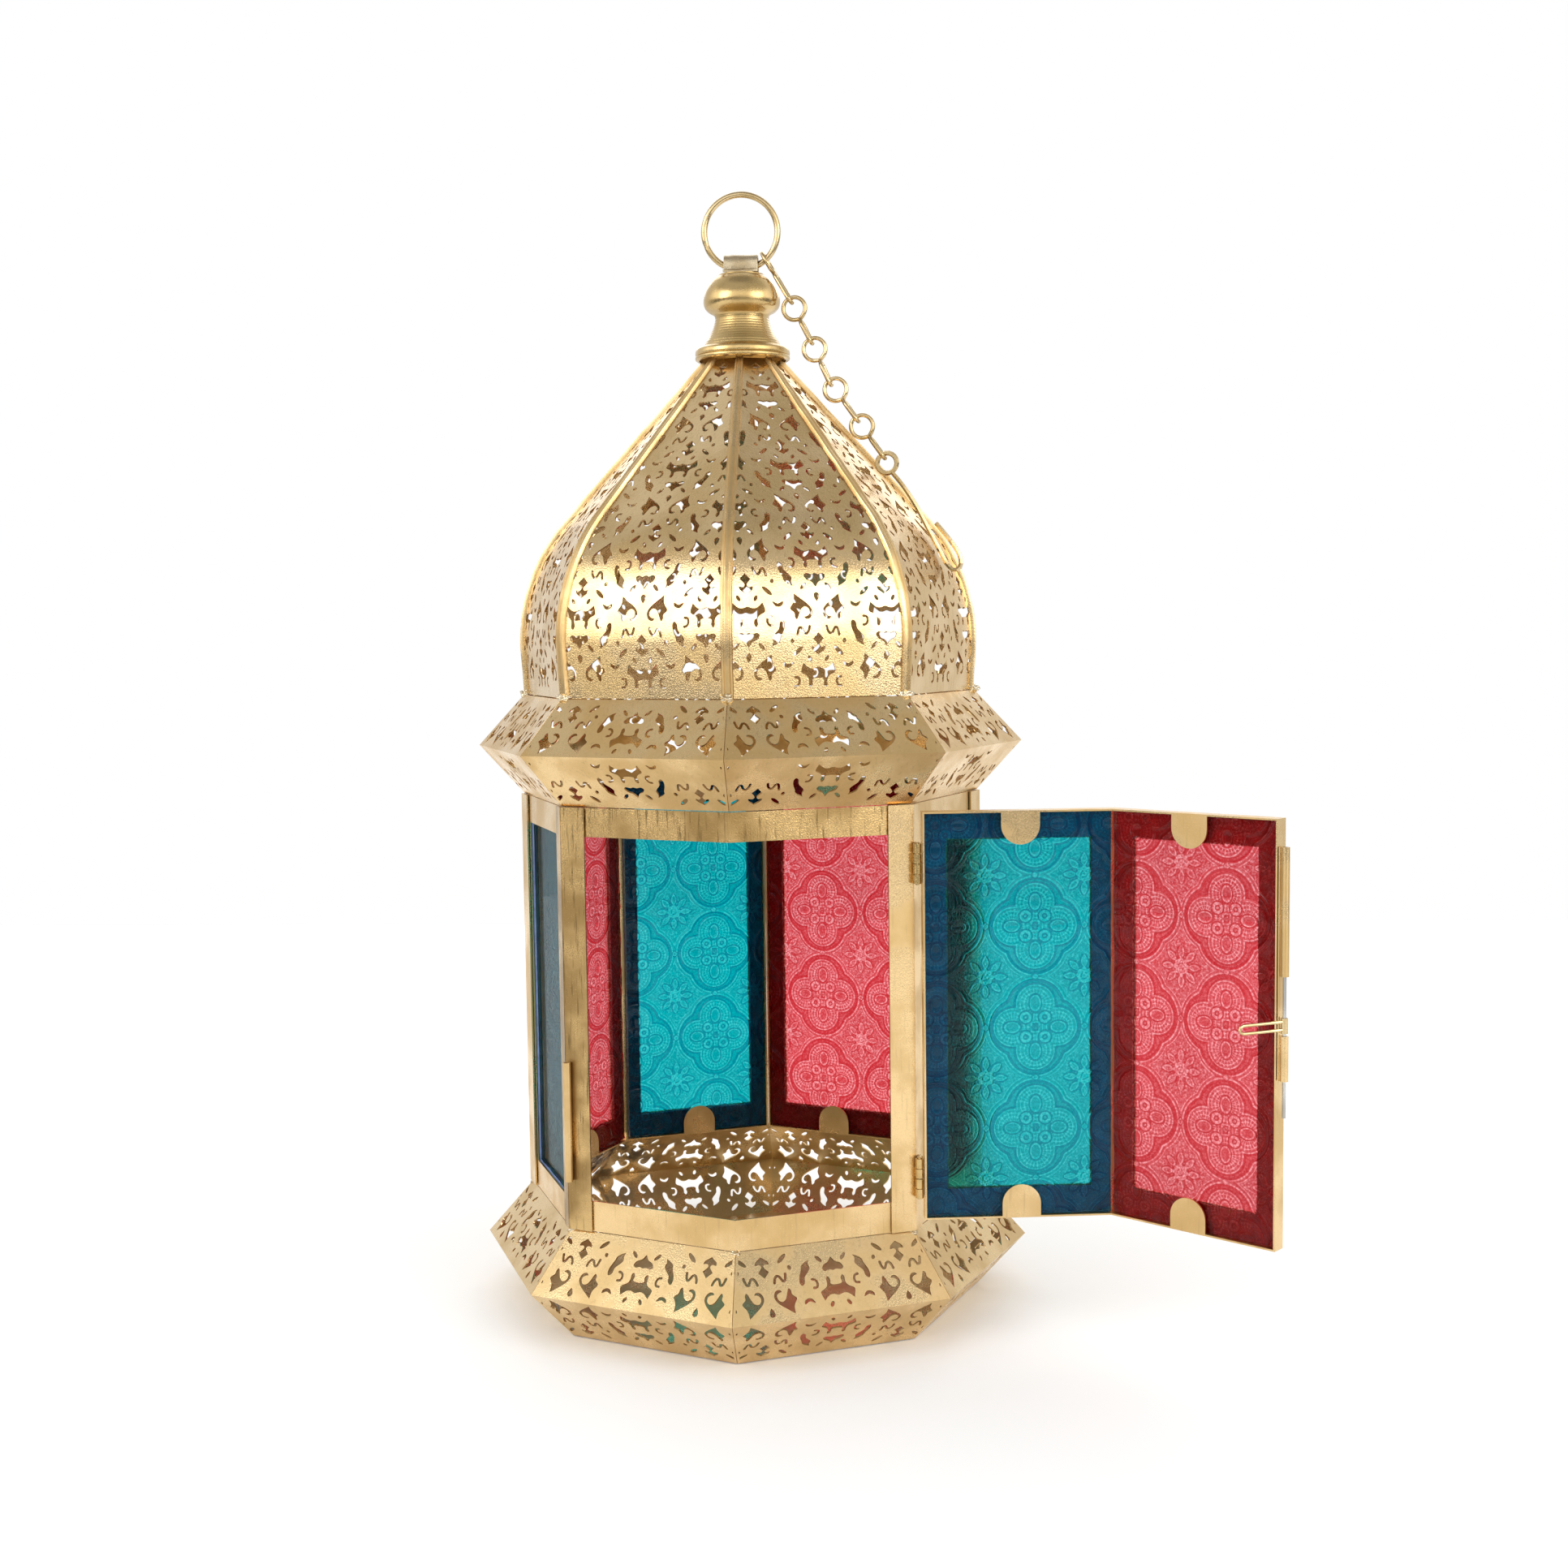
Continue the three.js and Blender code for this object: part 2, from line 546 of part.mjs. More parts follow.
// ---- chain and hook ----
// The chain hangs in an upright plane through the axis. Points in it are (distance from the axis, height).
const outward = new THREE.Vector3(Math.cos(CHAIN_AZIMUTH), Math.sin(CHAIN_AZIMUTH), 0);
const across = new THREE.Vector3(-Math.sin(CHAIN_AZIMUTH), Math.cos(CHAIN_AZIMUTH), 0);
const inPlane = (r, z) => outward.clone().multiplyScalar(r).setZ(z);
const HUNG_AT = 9; // the first link hangs this far along the ring from its middle
const ringPoint = new THREE.Vector3(HUNG_AT, 0, RING_Z - Math.sqrt(RING_R ** 2 - HUNG_AT ** 2));
const RING_SEAT = 2.45; // from the ring's wire to the first link's
const joins = [[18, 366.5], [25.6, 351.6], [32.6, 336.4], [42.3, 322.8], [52, 309.2]];
const contacts = joins.map(([r, z]) => inPlane(r, z));
const firstWay = contacts[0].clone().sub(ringPoint).normalize();
contacts.unshift(ringPoint.clone().addScaledVector(firstWay, -RING_SEAT));

// A keyhole link in its own frame: its top wire at the origin, hanging down -z, its eye square to y.
// The loop that holds the next link is square to x, or lies in the eye's plane when `flat`.
function link(length, flat) {
  const eye = solid(new THREE.TorusGeometry(EYE_R, CHAIN_WIRE, 6, 20).rotateX(Math.PI / 2));
  const legs = [1, -1].map((side) => {
    const points = [[0.45, -2 * EYE_R], [1.5, -2 * EYE_R - 1.8], [LOOP_R, -2 * EYE_R - 3.2]];
    for (let i = 0; i <= 4; i += 1) {
      const angle = (i * Math.PI) / 8;
      points.push([LOOP_R * Math.cos(angle), -length - LOOP_R * Math.sin(angle)]);
    }
    points.push([-0.3, -length - LOOP_R]);
    const curve = new THREE.CatmullRomCurve3(points.map(([y, z]) => new THREE.Vector3(0, side * y, z)));
    return solid(wire(curve, CHAIN_WIRE, 14, 3));
  });
  const loop = flat ? join(legs).rotate([0, 0, 90]) : join(legs);
  return eye.translate([0, 0, -EYE_R]).add(loop);
}

for (let i = 0; i + 1 < contacts.length; i += 1) {
  const way = contacts[i + 1].clone().sub(contacts[i]);
  const length = way.length();
  const flat = i === 0;
  const up = way.normalize().negate();
  const side = across.clone().addScaledVector(up, -across.dot(up)).normalize();
  const [x, y] = flat ? [side, up.clone().cross(side)] : [side.clone().cross(up), side];
  const mesh = place(lantern, `chain_link_${i + 1}`, link(length, flat), gold(), contacts[i].toArray());
  mesh.quaternion.setFromRotationMatrix(new THREE.Matrix4().makeBasis(x, y, up));
}

function hook() {
  const points = [
    [55.5, 302.8], [59.7, 297.6], [64.6, 290], [68.9, 281.8], [72.7, 274.6], [75.9, 268.9],
    [78.3, 267], [80.4, 268.3], [80.3, 271.8], [77.8, 276.2], [74.3, 280.8], [71.6, 284],
  ];
  const curve = new THREE.CatmullRomCurve3(points.map(([r, z]) => new THREE.Vector3(r, 0, z)));
  const eye = new THREE.TorusGeometry(HOOK_EYE_R, HOOK_WIRE, 6, 18)
    .rotateX(Math.PI / 2)
    .translate(HOOK_EYE[0], 0, HOOK_EYE[1]);
  return solid(wire(curve, HOOK_WIRE, 44, 3)).add(solid(eye));
}

place(lantern, "chain_hook", hook(), gold(), [0, 0, 0], CHAIN_AZIMUTH);

export default lantern;
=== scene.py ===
"""Looks of the candle lantern: pierced gold sheet, pressed glass, hinges, slide bolt, finial and chain."""
import json
import math

import bmesh
import bpy
import numpy as np
from mathutils import Matrix, Vector, geometry, noise


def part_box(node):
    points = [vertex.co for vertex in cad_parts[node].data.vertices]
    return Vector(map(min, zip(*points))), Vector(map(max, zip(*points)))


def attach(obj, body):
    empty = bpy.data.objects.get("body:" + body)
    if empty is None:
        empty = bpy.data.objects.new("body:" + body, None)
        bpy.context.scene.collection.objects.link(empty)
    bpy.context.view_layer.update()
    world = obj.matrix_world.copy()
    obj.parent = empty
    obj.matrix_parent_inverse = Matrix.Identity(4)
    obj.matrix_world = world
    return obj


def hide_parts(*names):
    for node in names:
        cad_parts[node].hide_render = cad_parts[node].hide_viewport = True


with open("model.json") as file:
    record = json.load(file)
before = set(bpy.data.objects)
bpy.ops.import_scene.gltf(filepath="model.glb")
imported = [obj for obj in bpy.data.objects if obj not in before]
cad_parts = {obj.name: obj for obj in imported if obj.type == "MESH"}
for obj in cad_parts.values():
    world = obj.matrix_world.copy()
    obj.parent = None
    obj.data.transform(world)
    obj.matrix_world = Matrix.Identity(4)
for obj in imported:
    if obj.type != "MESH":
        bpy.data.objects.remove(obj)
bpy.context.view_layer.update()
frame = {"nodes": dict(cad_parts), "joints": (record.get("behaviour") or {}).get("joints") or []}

MM = 0.001
SIDES = 8
STEP = 2 * math.pi / SIDES
TAN = math.tan(STEP / 2)
COS = math.cos(STEP / 2)
SHEET = 0.6  # millimetres, as every length below is until a piece is made
SEAM = 0.1  # how far the side edges of a panel stay back from the corners
JOINTS = {joint["name"]: joint for joint in frame["joints"]}


# ---------------------------------------------------------------- places, from the frame
def side_matrix(k):
    """Side k's own frame: +Y away from the axis, Z up, in metres. Side 0 is right of the front corner."""
    return Matrix.Rotation((k + 0.5) * STEP - math.pi, 4, "Z")


DOOR_PIN = Vector(JOINTS["door_swing"]["pos_m"])
DOOR_OPEN = math.radians(-JOINTS["door_swing"]["range_deg"][0])
DOOR_TURN = (
    Matrix.Translation(DOOR_PIN) @ Matrix.Rotation(DOOR_OPEN, 4, "Z") @ Matrix.Translation(-DOOR_PIN)
)


def door_matrix(k):
    return DOOR_TURN @ side_matrix(k)


def local_points(node, matrix):
    """A CAD node's vertices in millimetres in another frame."""
    back = matrix.inverted()
    return np.array([back @ vertex.co for vertex in frame["nodes"][node].data.vertices]) / MM


def local_box(node, matrix):
    points = local_points(node, matrix)
    return points.min(0), points.max(0)


def band_profile(node):
    """(distance from the axis, height) of a band panel on side 0, at its lower edge, fold and upper edge."""
    points = local_points(node, side_matrix(0))
    low, high = points[:, 2].min(), points[:, 2].max()
    fold = points[points[:, 1].argmax()]
    edge = lambda z: points[np.abs(points[:, 2] - z) < 0.05][:, 1].max()
    return [(edge(low), low), (fold[1], fold[2]), (edge(high), high)]


# ---------------------------------------------------------------- mesh helpers
def finish_piece(obj, body, material, replaced=()):
    obj.data.materials.clear()
    obj.data.materials.append(material)
    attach(obj, body)
    if replaced:
        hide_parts(*replaced)


def mesh_object(name, vertices, faces, matrix=Matrix.Identity(4)):
    """A mesh from vertices in millimetres in the frame of `matrix`."""
    mesh = bpy.data.meshes.new(name)
    placed = [matrix @ (Vector(vertex) * MM) for vertex in vertices]
    mesh.from_pydata([tuple(vertex) for vertex in placed], [], faces)
    mesh.validate()
    obj = bpy.data.objects.new(name, mesh)
    bpy.context.scene.collection.objects.link(obj)
    return obj


def smooth_by_angle(obj, degrees=35):
    obj.data.shade_smooth()
    obj.data.set_sharp_from_angle(angle=math.radians(degrees))


def bevelled(obj, width, angle=35):
    modifier = obj.modifiers.new("bevel", "BEVEL")
    modifier.width = width * MM
    modifier.segments = 2
    modifier.limit_method = "ANGLE"
    modifier.angle_limit = math.radians(angle)


def closed_spline(points, steps):
    """A smooth closed outline through a few points; a point given twice is a sharp corner."""
    points = np.array(points, float)
    count = len(points)
    made = []
    for i in range(count):
        p0, p1, p2, p3 = (points[(i + j) % count] for j in (-1, 0, 1, 2))
        if np.allclose(p1, p2):
            continue
        for t in np.linspace(0, 1, steps, endpoint=False):
            made.append(0.5 * (2 * p1 + (p2 - p0) * t + (2 * p0 - 5 * p1 + 4 * p2 - p3) * t ** 2
                               + (3 * p1 - p0 - 3 * p2 + p3) * t ** 3))
    return made


def open_spline(points, steps):
    """A smooth line through a few points."""
    points = [Vector(point) for point in points]
    ends = [2 * points[0] - points[1], *points, 2 * points[-1] - points[-2]]
    made = []
    for i in range(len(points) - 1):
        p0, p1, p2, p3 = ends[i:i + 4]
        for step in range(steps):
            t = step / steps
            made.append(0.5 * (2 * p1 + (p2 - p0) * t + (2 * p0 - 5 * p1 + 4 * p2 - p3) * t * t
                               + (3 * p1 - p0 - 3 * p2 + p3) * t * t * t))
    return [*made, points[-1]]


def lathe(name, profile, segments):
    """A body of revolution about Z. `profile` is a closed line of (radius, height) in millimetres."""
    vertices, faces = [], []
    count = len(profile)
    for i in range(segments):
        angle = 2 * math.pi * i / segments
        vertices += [(r * math.cos(angle), r * math.sin(angle), z) for r, z in profile]
    for i in range(segments):
        here, there = i * count, (i + 1) % segments * count
        for j in range(count):
            following = (j + 1) % count
            faces.append((here + j, there + j, there + following, here + following))
    obj = mesh_object(name, vertices, faces)
    made = bmesh.new()
    made.from_mesh(obj.data)
    bmesh.ops.remove_doubles(made, verts=made.verts, dist=1e-7)
    bmesh.ops.recalc_face_normals(made, faces=made.faces)
    made.to_mesh(obj.data)
    made.free()
    smooth_by_angle(obj)
    return obj


def wire_object(name, points, radius, cyclic=False, matrix=Matrix.Identity(4), radii=None):
    """A round wire along points in millimetres."""
    curve = bpy.data.curves.new(name, "CURVE")
    curve.dimensions = "3D"
    curve.bevel_depth = radius * MM
    curve.bevel_resolution = 5
    curve.use_fill_caps = True
    spline = curve.splines.new("POLY")
    spline.points.add(len(points) - 1)
    for i, point in enumerate(points):
        spline.points[i].co = (*(matrix @ (Vector(point) * MM)), 1)
        spline.points[i].radius = radii[i] if radii else 1
    spline.use_cyclic_u = cyclic
    spline.use_smooth = True
    obj = bpy.data.objects.new(name, curve)
    bpy.context.scene.collection.objects.link(obj)
    return obj


# ---------------------------------------------------------------- material helpers
def add(tree, kind, inputs=(), **settings):
    node = tree.nodes.new(kind)
    for key, value in settings.items():
        setattr(node, key, value)
    for key, value in dict(inputs).items():
        if isinstance(value, bpy.types.NodeSocket):
            tree.links.new(value, node.inputs[key])
        else:
            node.inputs[key].default_value = value
    return node


def calc(tree, operation, *values, clamp=False):
    node = add(tree, "ShaderNodeMath", dict(enumerate(values)), operation=operation, use_clamp=clamp)
    return node.outputs[0]


def ramp(tree, value, low, high, start=0.0, end=1.0):
    """`start` where value is under `low`, `end` over `high`, smooth between."""
    inputs = {"Value": value, "From Min": low, "From Max": high, "To Min": start, "To Max": end}
    return add(tree, "ShaderNodeMapRange", inputs, interpolation_type="SMOOTHSTEP").outputs[0]


def mixed(tree, factor, first, second):
    node = add(tree, "ShaderNodeMix", {0: factor, 6: first, 7: second}, data_type="RGBA")
    return node.outputs[2]


def spots(tree, coords, scale, detail=2.0, roughness=0.5):
    inputs = {"Vector": coords, "Scale": scale, "Detail": detail, "Roughness": roughness}
    return add(tree, "ShaderNodeTexNoise", inputs).outputs[0]


def new_material(name):
    made = bpy.data.materials.new(name)
    made.use_nodes = True
    tree = made.node_tree
    return made, tree, tree.nodes["Principled BSDF"], add(tree, "ShaderNodeTexCoord").outputs["Object"]


def attribute(tree, name):
    return add(tree, "ShaderNodeAttribute", attribute_name=name).outputs["Fac"]


def colour(r, g, b):
    return (r, g, b, 1.0)


# ---------------------------------------------------------------- gold and steel
SOOT = colour(0.035, 0.024, 0.018)
SOOT_PLACE = (-0.062, 0.052, 0.028)  # in metres, as is its radius
SOOT_RADIUS = 0.040


def gold_material(name, light, dark, rough=(0.24, 0.40), grain=0.4, speck=0.5, stain=None, wear=0.22):
    """Gold-toned metal: cloudy colour, orange-peel grain, pale specks and rubbed streaks.
    `rough` is the roughness of its light and dark clouds, `stain` the place and radius of a sooty patch."""
    made, tree, shader, coords = new_material(name)
    clouds = ramp(tree, spots(tree, coords, 55, 3), 0.35, 0.65)
    peel = spots(tree, coords, 1900, 3, 0.6)
    flecks = ramp(tree, spots(tree, coords, 2600, 2, 0.7), 0.62, 0.74)
    scratch_map = add(tree, "ShaderNodeMapping", {"Vector": coords, "Scale": (1, 1, 0.08)})
    streaks = spots(tree, scratch_map.outputs[0], 900, 3, 0.6)
    tone = mixed(tree, clouds, colour(*dark), colour(*light))
    pale = colour(*[min(1.0, c * 1.22 + 0.05) for c in light])
    tone = mixed(tree, calc(tree, "MULTIPLY", flecks, speck), tone, pale)
    tone = mixed(tree, ramp(tree, streaks, 0.30, 0.45, wear, 0.0), tone, colour(*[c * 0.55 for c in dark]))
    roughness = calc(tree, "ADD", ramp(tree, clouds, 0, 1, rough[1], rough[0]),
                     calc(tree, "MULTIPLY", calc(tree, "SUBTRACT", peel, 0.5), 0.25))
    metal = None
    if stain:
        centre, radius = stain
        away = add(tree, "ShaderNodeVectorMath", {0: coords, 1: centre}, operation="DISTANCE")
        near = ramp(tree, away.outputs["Value"], radius * 0.25, radius, 1.0, 0.0)
        patches = ramp(tree, spots(tree, coords, 95, 4, 0.65), 0.42, 0.62)
        soot = calc(tree, "MULTIPLY", near, patches, clamp=True)
        tone = mixed(tree, soot, tone, SOOT)
        roughness = calc(tree, "ADD", roughness, calc(tree, "MULTIPLY", soot, 0.35))
        metal = calc(tree, "SUBTRACT", 1.0, calc(tree, "MULTIPLY", soot, 0.9))
    tree.links.new(tone, shader.inputs["Base Color"])
    tree.links.new(roughness, shader.inputs["Roughness"])
    if metal:
        tree.links.new(metal, shader.inputs["Metallic"])
    else:
        shader.inputs["Metallic"].default_value = 1.0
    shader.inputs["Coat Weight"].default_value = 0.1
    shader.inputs["Coat Roughness"].default_value = 0.14
    height = calc(tree, "ADD", peel, calc(tree, "MULTIPLY", streaks, 0.4))
    bump = add(tree, "ShaderNodeBump", {"Height": height, "Strength": grain, "Distance": 0.12 * MM})
    tree.links.new(bump.outputs[0], shader.inputs["Normal"])
    return made


GOLD_SHEET = gold_material("gold_sheet", (0.79, 0.57, 0.29), (0.62, 0.42, 0.18))
GOLD_WORN = gold_material("gold_worn", (0.62, 0.42, 0.18), (0.30, 0.19, 0.07), rough=(0.20, 0.36),
                          grain=0.9, wear=0.85)
GOLD_DOME = gold_material("gold_dome", (0.80, 0.59, 0.32), (0.66, 0.46, 0.21), rough=(0.15, 0.24), grain=0.5)
GOLD_BASE = gold_material("gold_base", (0.80, 0.59, 0.31), (0.64, 0.45, 0.21),
                          stain=(SOOT_PLACE, SOOT_RADIUS))
GOLD_CAST = gold_material("gold_cast", (0.66, 0.47, 0.21), (0.48, 0.33, 0.13), rough=(0.18, 0.34), grain=0.3)
GOLD_WIRE = gold_material("gold_wire", (0.66, 0.50, 0.27), (0.46, 0.33, 0.15), rough=(0.2, 0.34), grain=0.2)
SOLDER = gold_material("solder", (0.74, 0.64, 0.46), (0.44, 0.34, 0.20), rough=(0.2, 0.42), grain=0.8)
STEEL = gold_material("steel_rod", (0.60, 0.59, 0.56), (0.42, 0.41, 0.39), rough=(0.2, 0.34),
                      grain=0.15, speck=0.2)


# ---------------------------------------------------------------- pierced stock sheet
# The stock pattern, in millimetres: x across the panel, t along it. It repeats every PITCH_T along a
# column; the next column stands PITCH_X aside and half a repeat along.
PITCH_X = 24.4
PITCH_T = 40.4
EDGE_CLEAR = 1.1  # no hole comes nearer to the ends of a strip
OVAL_POINTS = 10


def mirror_shape(right_half):
    """A whole outline from its right half, given from the top point to the bottom point."""
    return right_half + [(-x, t) for x, t in reversed(right_half[1:-1])]


def oval(width, height, tilt):
    """An oval hole turned by `tilt` degrees."""
    made = []
    turn = math.radians(tilt)
    for i in range(OVAL_POINTS):
        angle = 2 * math.pi * i / OVAL_POINTS
        x = width / 2 * math.sin(angle)
        t = -height / 2 * math.cos(angle)
        made.append((x * math.cos(turn) - t * math.sin(turn), x * math.sin(turn) + t * math.cos(turn)))
    return made


def stroke(points, width):
    """A band of even width along a few points, with rounded ends."""
    line = open_spline([(x, t, 0) for x, t in points], 2)
    left, right = [], []
    for i, point in enumerate(line):
        along = (line[min(i + 1, len(line) - 1)] - line[max(i - 1, 0)]).normalized()
        side = Vector((-along.y, along.x, 0)) * width / 2
        left.append(tuple((point + side).xy))
        right.append(tuple((point - side).xy))
    tip = lambda end, inner: tuple((end + (end - inner).normalized() * width * 0.4).xy)
    return [*left, tip(line[-1], line[-2]), *reversed(right), tip(line[0], line[1])]


BAT = mirror_shape([(0, -1.5), (1.6, -1.0), (3.3, -1.2), (5.3, -2.9), (5.3, -2.9), (6.1, 0.1), (4.2, 1.3),
                    (3.3, 2.6), (3.3, 4.6), (2.6, 5.3), (1.9, 4.2), (2.0, 2.6), (0, 2.2)])
BELL = mirror_shape([(0, -2.0), (1.2, -1.6), (2.8, -2.0), (3.8, -1.2), (3.0, 0.3), (1.3, 1.1), (0.5, 2.2),
                     (0, 2.9), (0, 2.9)])
HAMMER = mirror_shape([(0, -2.0), (0, -2.0), (1.9, 0.1), (1.9, 0.1), (0.5, 1.7), (0.5, 2.4), (1.1, 2.9),
                       (2.4, 2.7), (2.1, 3.9), (0.9, 4.8), (0, 5.5), (0, 5.5)])
DROP = mirror_shape([(0, -1.5), (0.9, -0.9), (0.8, 0.4), (0, 1.7), (0, 1.7)])
BEAN = [(-1.9, -0.9), (-0.8, -0.5), (0, -0.2), (0.8, -0.5), (1.8, -1.0), (1.8, 0.1), (0.6, 0.9), (-0.9, 0.7)]
HOOK_HOLE = [(1.4, -4.4), (1.4, -4.4), (1.5, -2.2), (2.0, -0.9), (3.0, 0.8), (1.6, 2.2), (1.5, 3.6),
             (0.7, 4.4), (-0.2, 2.4), (-1.0, 0.8), (-2.4, 0.1), (-3.6, 1.0), (-3.7, 2.5), (-2.7, 3.3),
             (-1.8, 3.5), (-2.6, 4.3), (-4.1, 3.8), (-4.8, 2.0), (-4.3, 0.4), (-2.8, -1.2), (-0.6, -2.9)]
CRESCENT = [(2.0, -4.3), (2.7, -3.3), (2.4, -1.2), (1.3, 1.2), (1.0, 2.5), (-0.3, 3.6), (-2.0, 4.4),
            (-2.0, 4.4), (-1.6, 2.9), (-1.9, 1.5), (-1.0, 0.2), (0.5, -1.4), (0.9, -3.4)]
WAVE = stroke([(2.2, 1.4), (1.7, -0.7), (0.8, -1.1), (-0.1, 0.5), (-1.1, 0.8), (-1.9, -0.3),
               (-2.2, -1.6)], 0.9)
COMMA = stroke([(0.9, -1.5), (-0.3, -1.3), (-0.7, 0.0), (-0.1, 1.2), (1.0, 1.5)], 0.85)

# Motifs of one repeat: outline, x and t of its place. Those off the centre line are there on both sides.
MOTIFS = [
    (BAT, 0, 0),
    (BELL, 0, 9.2),
    (HAMMER, 0, 29.4),
    (DROP, 0, 15.4),
    (oval(1.25, 2.2, 30), 3.0, -4.3),
    (BEAN, 10.6, -2.3),
    (CRESCENT, 10.0, 7.4),
    (COMMA, 7.3, 3.4),
    (oval(1.3, 3.0, -42), 4.4, 11.7),
    (HOOK_HOLE, 6.6, 18.7),
    (WAVE, 5.2, 26.9),
    (oval(1.3, 1.6, 20), 9.2, 30.2),
    (oval(1.5, 4.3, -48), 7.2, 33.6),
]


def stock_holes(length, half_width, phase):
    """Outlines of the holes in a strip of stock sheet; `phase` is the place along it of the bat."""
    holes = []
    for column in range(-3, 4):
        for row in range(-4, 5):
            origin = PITCH_T * row + PITCH_T / 2 * (column % 2)
            for outline, x, t in MOTIFS:
                for side in (1, -1) if x else (1,):
                    hole = [(side * (x + dx) + PITCH_X * column, phase - origin - t - dt)
                            for dx, dt in outline]
                    along = [place for _, place in hole]
                    across = [abs(place) for place, _ in hole]
                    whole = min(along) > EDGE_CLEAR and max(along) < length - EDGE_CLEAR
                    if whole and min(across) < half_width:
                        holes.append(closed_spline(hole, 3))
    return holes


def anticlockwise(outline):
    area = sum(a[0] * b[1] - b[0] * a[1] for a, b in zip(outline, [*outline[1:], outline[0]]))
    return outline if area > 0 else outline[::-1]


def pierced_faces(levels, half_width, holes, clear):
    """Flat vertices and triangles of a panel between its first and last level along it, without its holes.
    Holes stop `clear` short of its sides. Each level gets an edge across, so that it can be bent there."""
    right = [(half_width(s), s) for s in levels]
    outer = right + [(-x, s) for x, s in reversed(right)]
    inner_right = [(max(half_width(s) - clear, 0.2), s) for s in levels]
    inner = inner_right + [(-x, s) for x, s in reversed(inner_right)]
    points, edges, faces = [], [], []
    for outline in [outer, inner, *holes]:
        outline = anticlockwise([tuple(point) for point in outline])
        faces.append(list(range(len(points), len(points) + len(outline))))
        points += outline
    for x, s in right[1:-1]:
        edges.append((len(points), len(points) + 1))
        points += [(-x, s), (x, s)]
    flat, _, triangles, _, _, inside = geometry.delaunay_2d_cdt(
        [Vector(point) for point in points], edges, faces, 1, 1e-5)
    # Kept are the triangles inside the panel, without those that are both in a hole and off its clear edge.
    keep = [tri for tri, within in zip(triangles, inside)
            if 0 in within and not (1 in within and max(within) > 1)]
    used = sorted({i for tri in keep for i in tri})
    renumbered = {old: new for new, old in enumerate(used)}
    return [flat[i] for i in used], [[renumbered[i] for i in tri][::-1] for tri in keep]


def sheet_object(name, vertices, normals, triangles, matrix):
    """Sheet metal from its outer face: an inner face SHEET behind it, and the cut edges of every hole.
    `normals` gives the outward direction at each vertex, and the shading follows it."""
    count = len(vertices)
    outer = [Vector(vertex) for vertex in vertices]
    normals = [Vector(normal).normalized() for normal in normals]
    inner = [vertex - normal * SHEET for vertex, normal in zip(outer, normals)]
    directed = {(tri[i], tri[(i + 1) % 3]) for tri in triangles for i in range(3)}
    rims = [(b, a, count + a, count + b) for a, b in directed if (b, a) not in directed]
    faces = [tuple(tri) for tri in triangles] + [tuple(count + i for i in reversed(tri)) for tri in triangles]
    obj = mesh_object(name, outer + inner, faces + rims, matrix)
    mesh = obj.data
    turn = matrix.to_3x3()
    shading = []
    for face in mesh.polygons:
        rim = any(i < count for i in face.vertices) and any(i >= count for i in face.vertices)
        for i in face.vertices:
            normal = face.normal if rim else turn @ normals[i % count] * (1 if i < count else -1)
            shading.append(tuple(normal))
    mesh.shade_smooth()
    mesh.normals_split_custom_set(shading)
    return obj


BAND_PHASE = 17.4
BAND_CLEAR = 0.9


def band_panel(name, k, material):
    """Both slopes of a folded band panel. On each the pattern runs from the edge to the fold."""
    profile = band_profile(name.rsplit("_", 1)[0] + "_1")
    fold_r, fold_z = profile[1]
    for part, (edge_r, edge_z) in (("lower", profile[0]), ("upper", profile[2])):
        length = math.hypot(fold_r - edge_r, fold_z - edge_z)
        radius = lambda s: edge_r + (fold_r - edge_r) * s / length
        height = lambda s: edge_z + (fold_z - edge_z) * s / length
        half = lambda s: radius(s) * TAN - SEAM
        holes = stock_holes(length, fold_r * TAN, BAND_PHASE)
        flat, triangles = pierced_faces([0, length], half, holes, BAND_CLEAR)
        vertices = [(x, radius(s), height(s)) for x, s in flat]
        normal = (0, abs(fold_z - edge_z), (fold_r - edge_r) * (1 if edge_z > fold_z else -1))
        if edge_z > fold_z:
            triangles = [tri[::-1] for tri in triangles]
        obj = sheet_object(f"{name}_{part}", vertices, [normal] * len(vertices), triangles, side_matrix(k))
        finish_piece(obj, "lantern", material, [name])


for k in range(SIDES):
    band_panel(f"base_panel_{k + 1}", k, GOLD_BASE)
    band_panel(f"eave_panel_{k + 1}", k, GOLD_SHEET)

# ---------------------------------------------------------------- dome
DOME_LOW, DOME_HIGH = (corner.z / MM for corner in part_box("dome_panel_1"))
RIB_PROUD = 1.3
BEND_Z = 242  # where the upright wall ends and the bend starts
BEND_R = 68 - RIB_PROUD  # of the sheet, on the corners
BEND_CENTRE = 17.2  # of the bend, from the axis
WALL_LEAN = 1.1  # of the wall's foot, inward
CONE = math.radians(42.4)  # from the vertical, above the bend
BEND_STEP = 3
DOME_PHASE = 8.6
DOME_CLEAR = 1.6
DOME_STRIP = 33  # half the width of the stock sheet that is pierced


def dome_place(s):
    """(distance of a corner from the axis, height, angle from the vertical) at a length s up the dome."""
    radius = BEND_R
    wall = BEND_Z - DOME_LOW
    if s < wall:
        return BEND_CENTRE + radius - WALL_LEAN * (1 - s / wall), DOME_LOW + s, 0.0
    angle = min((s - wall) / radius, CONE)
    rest = s - wall - radius * CONE if angle == CONE else 0.0
    r = BEND_CENTRE + radius * math.cos(angle) - rest * math.sin(CONE)
    z = BEND_Z + radius * math.sin(angle) + rest * math.cos(CONE)
    return r, z, angle


BEND_END = BEND_Z - DOME_LOW + BEND_R * CONE
DOME_LENGTH = BEND_END + (DOME_HIGH - BEND_Z - BEND_R * math.sin(CONE)) / math.cos(CONE)


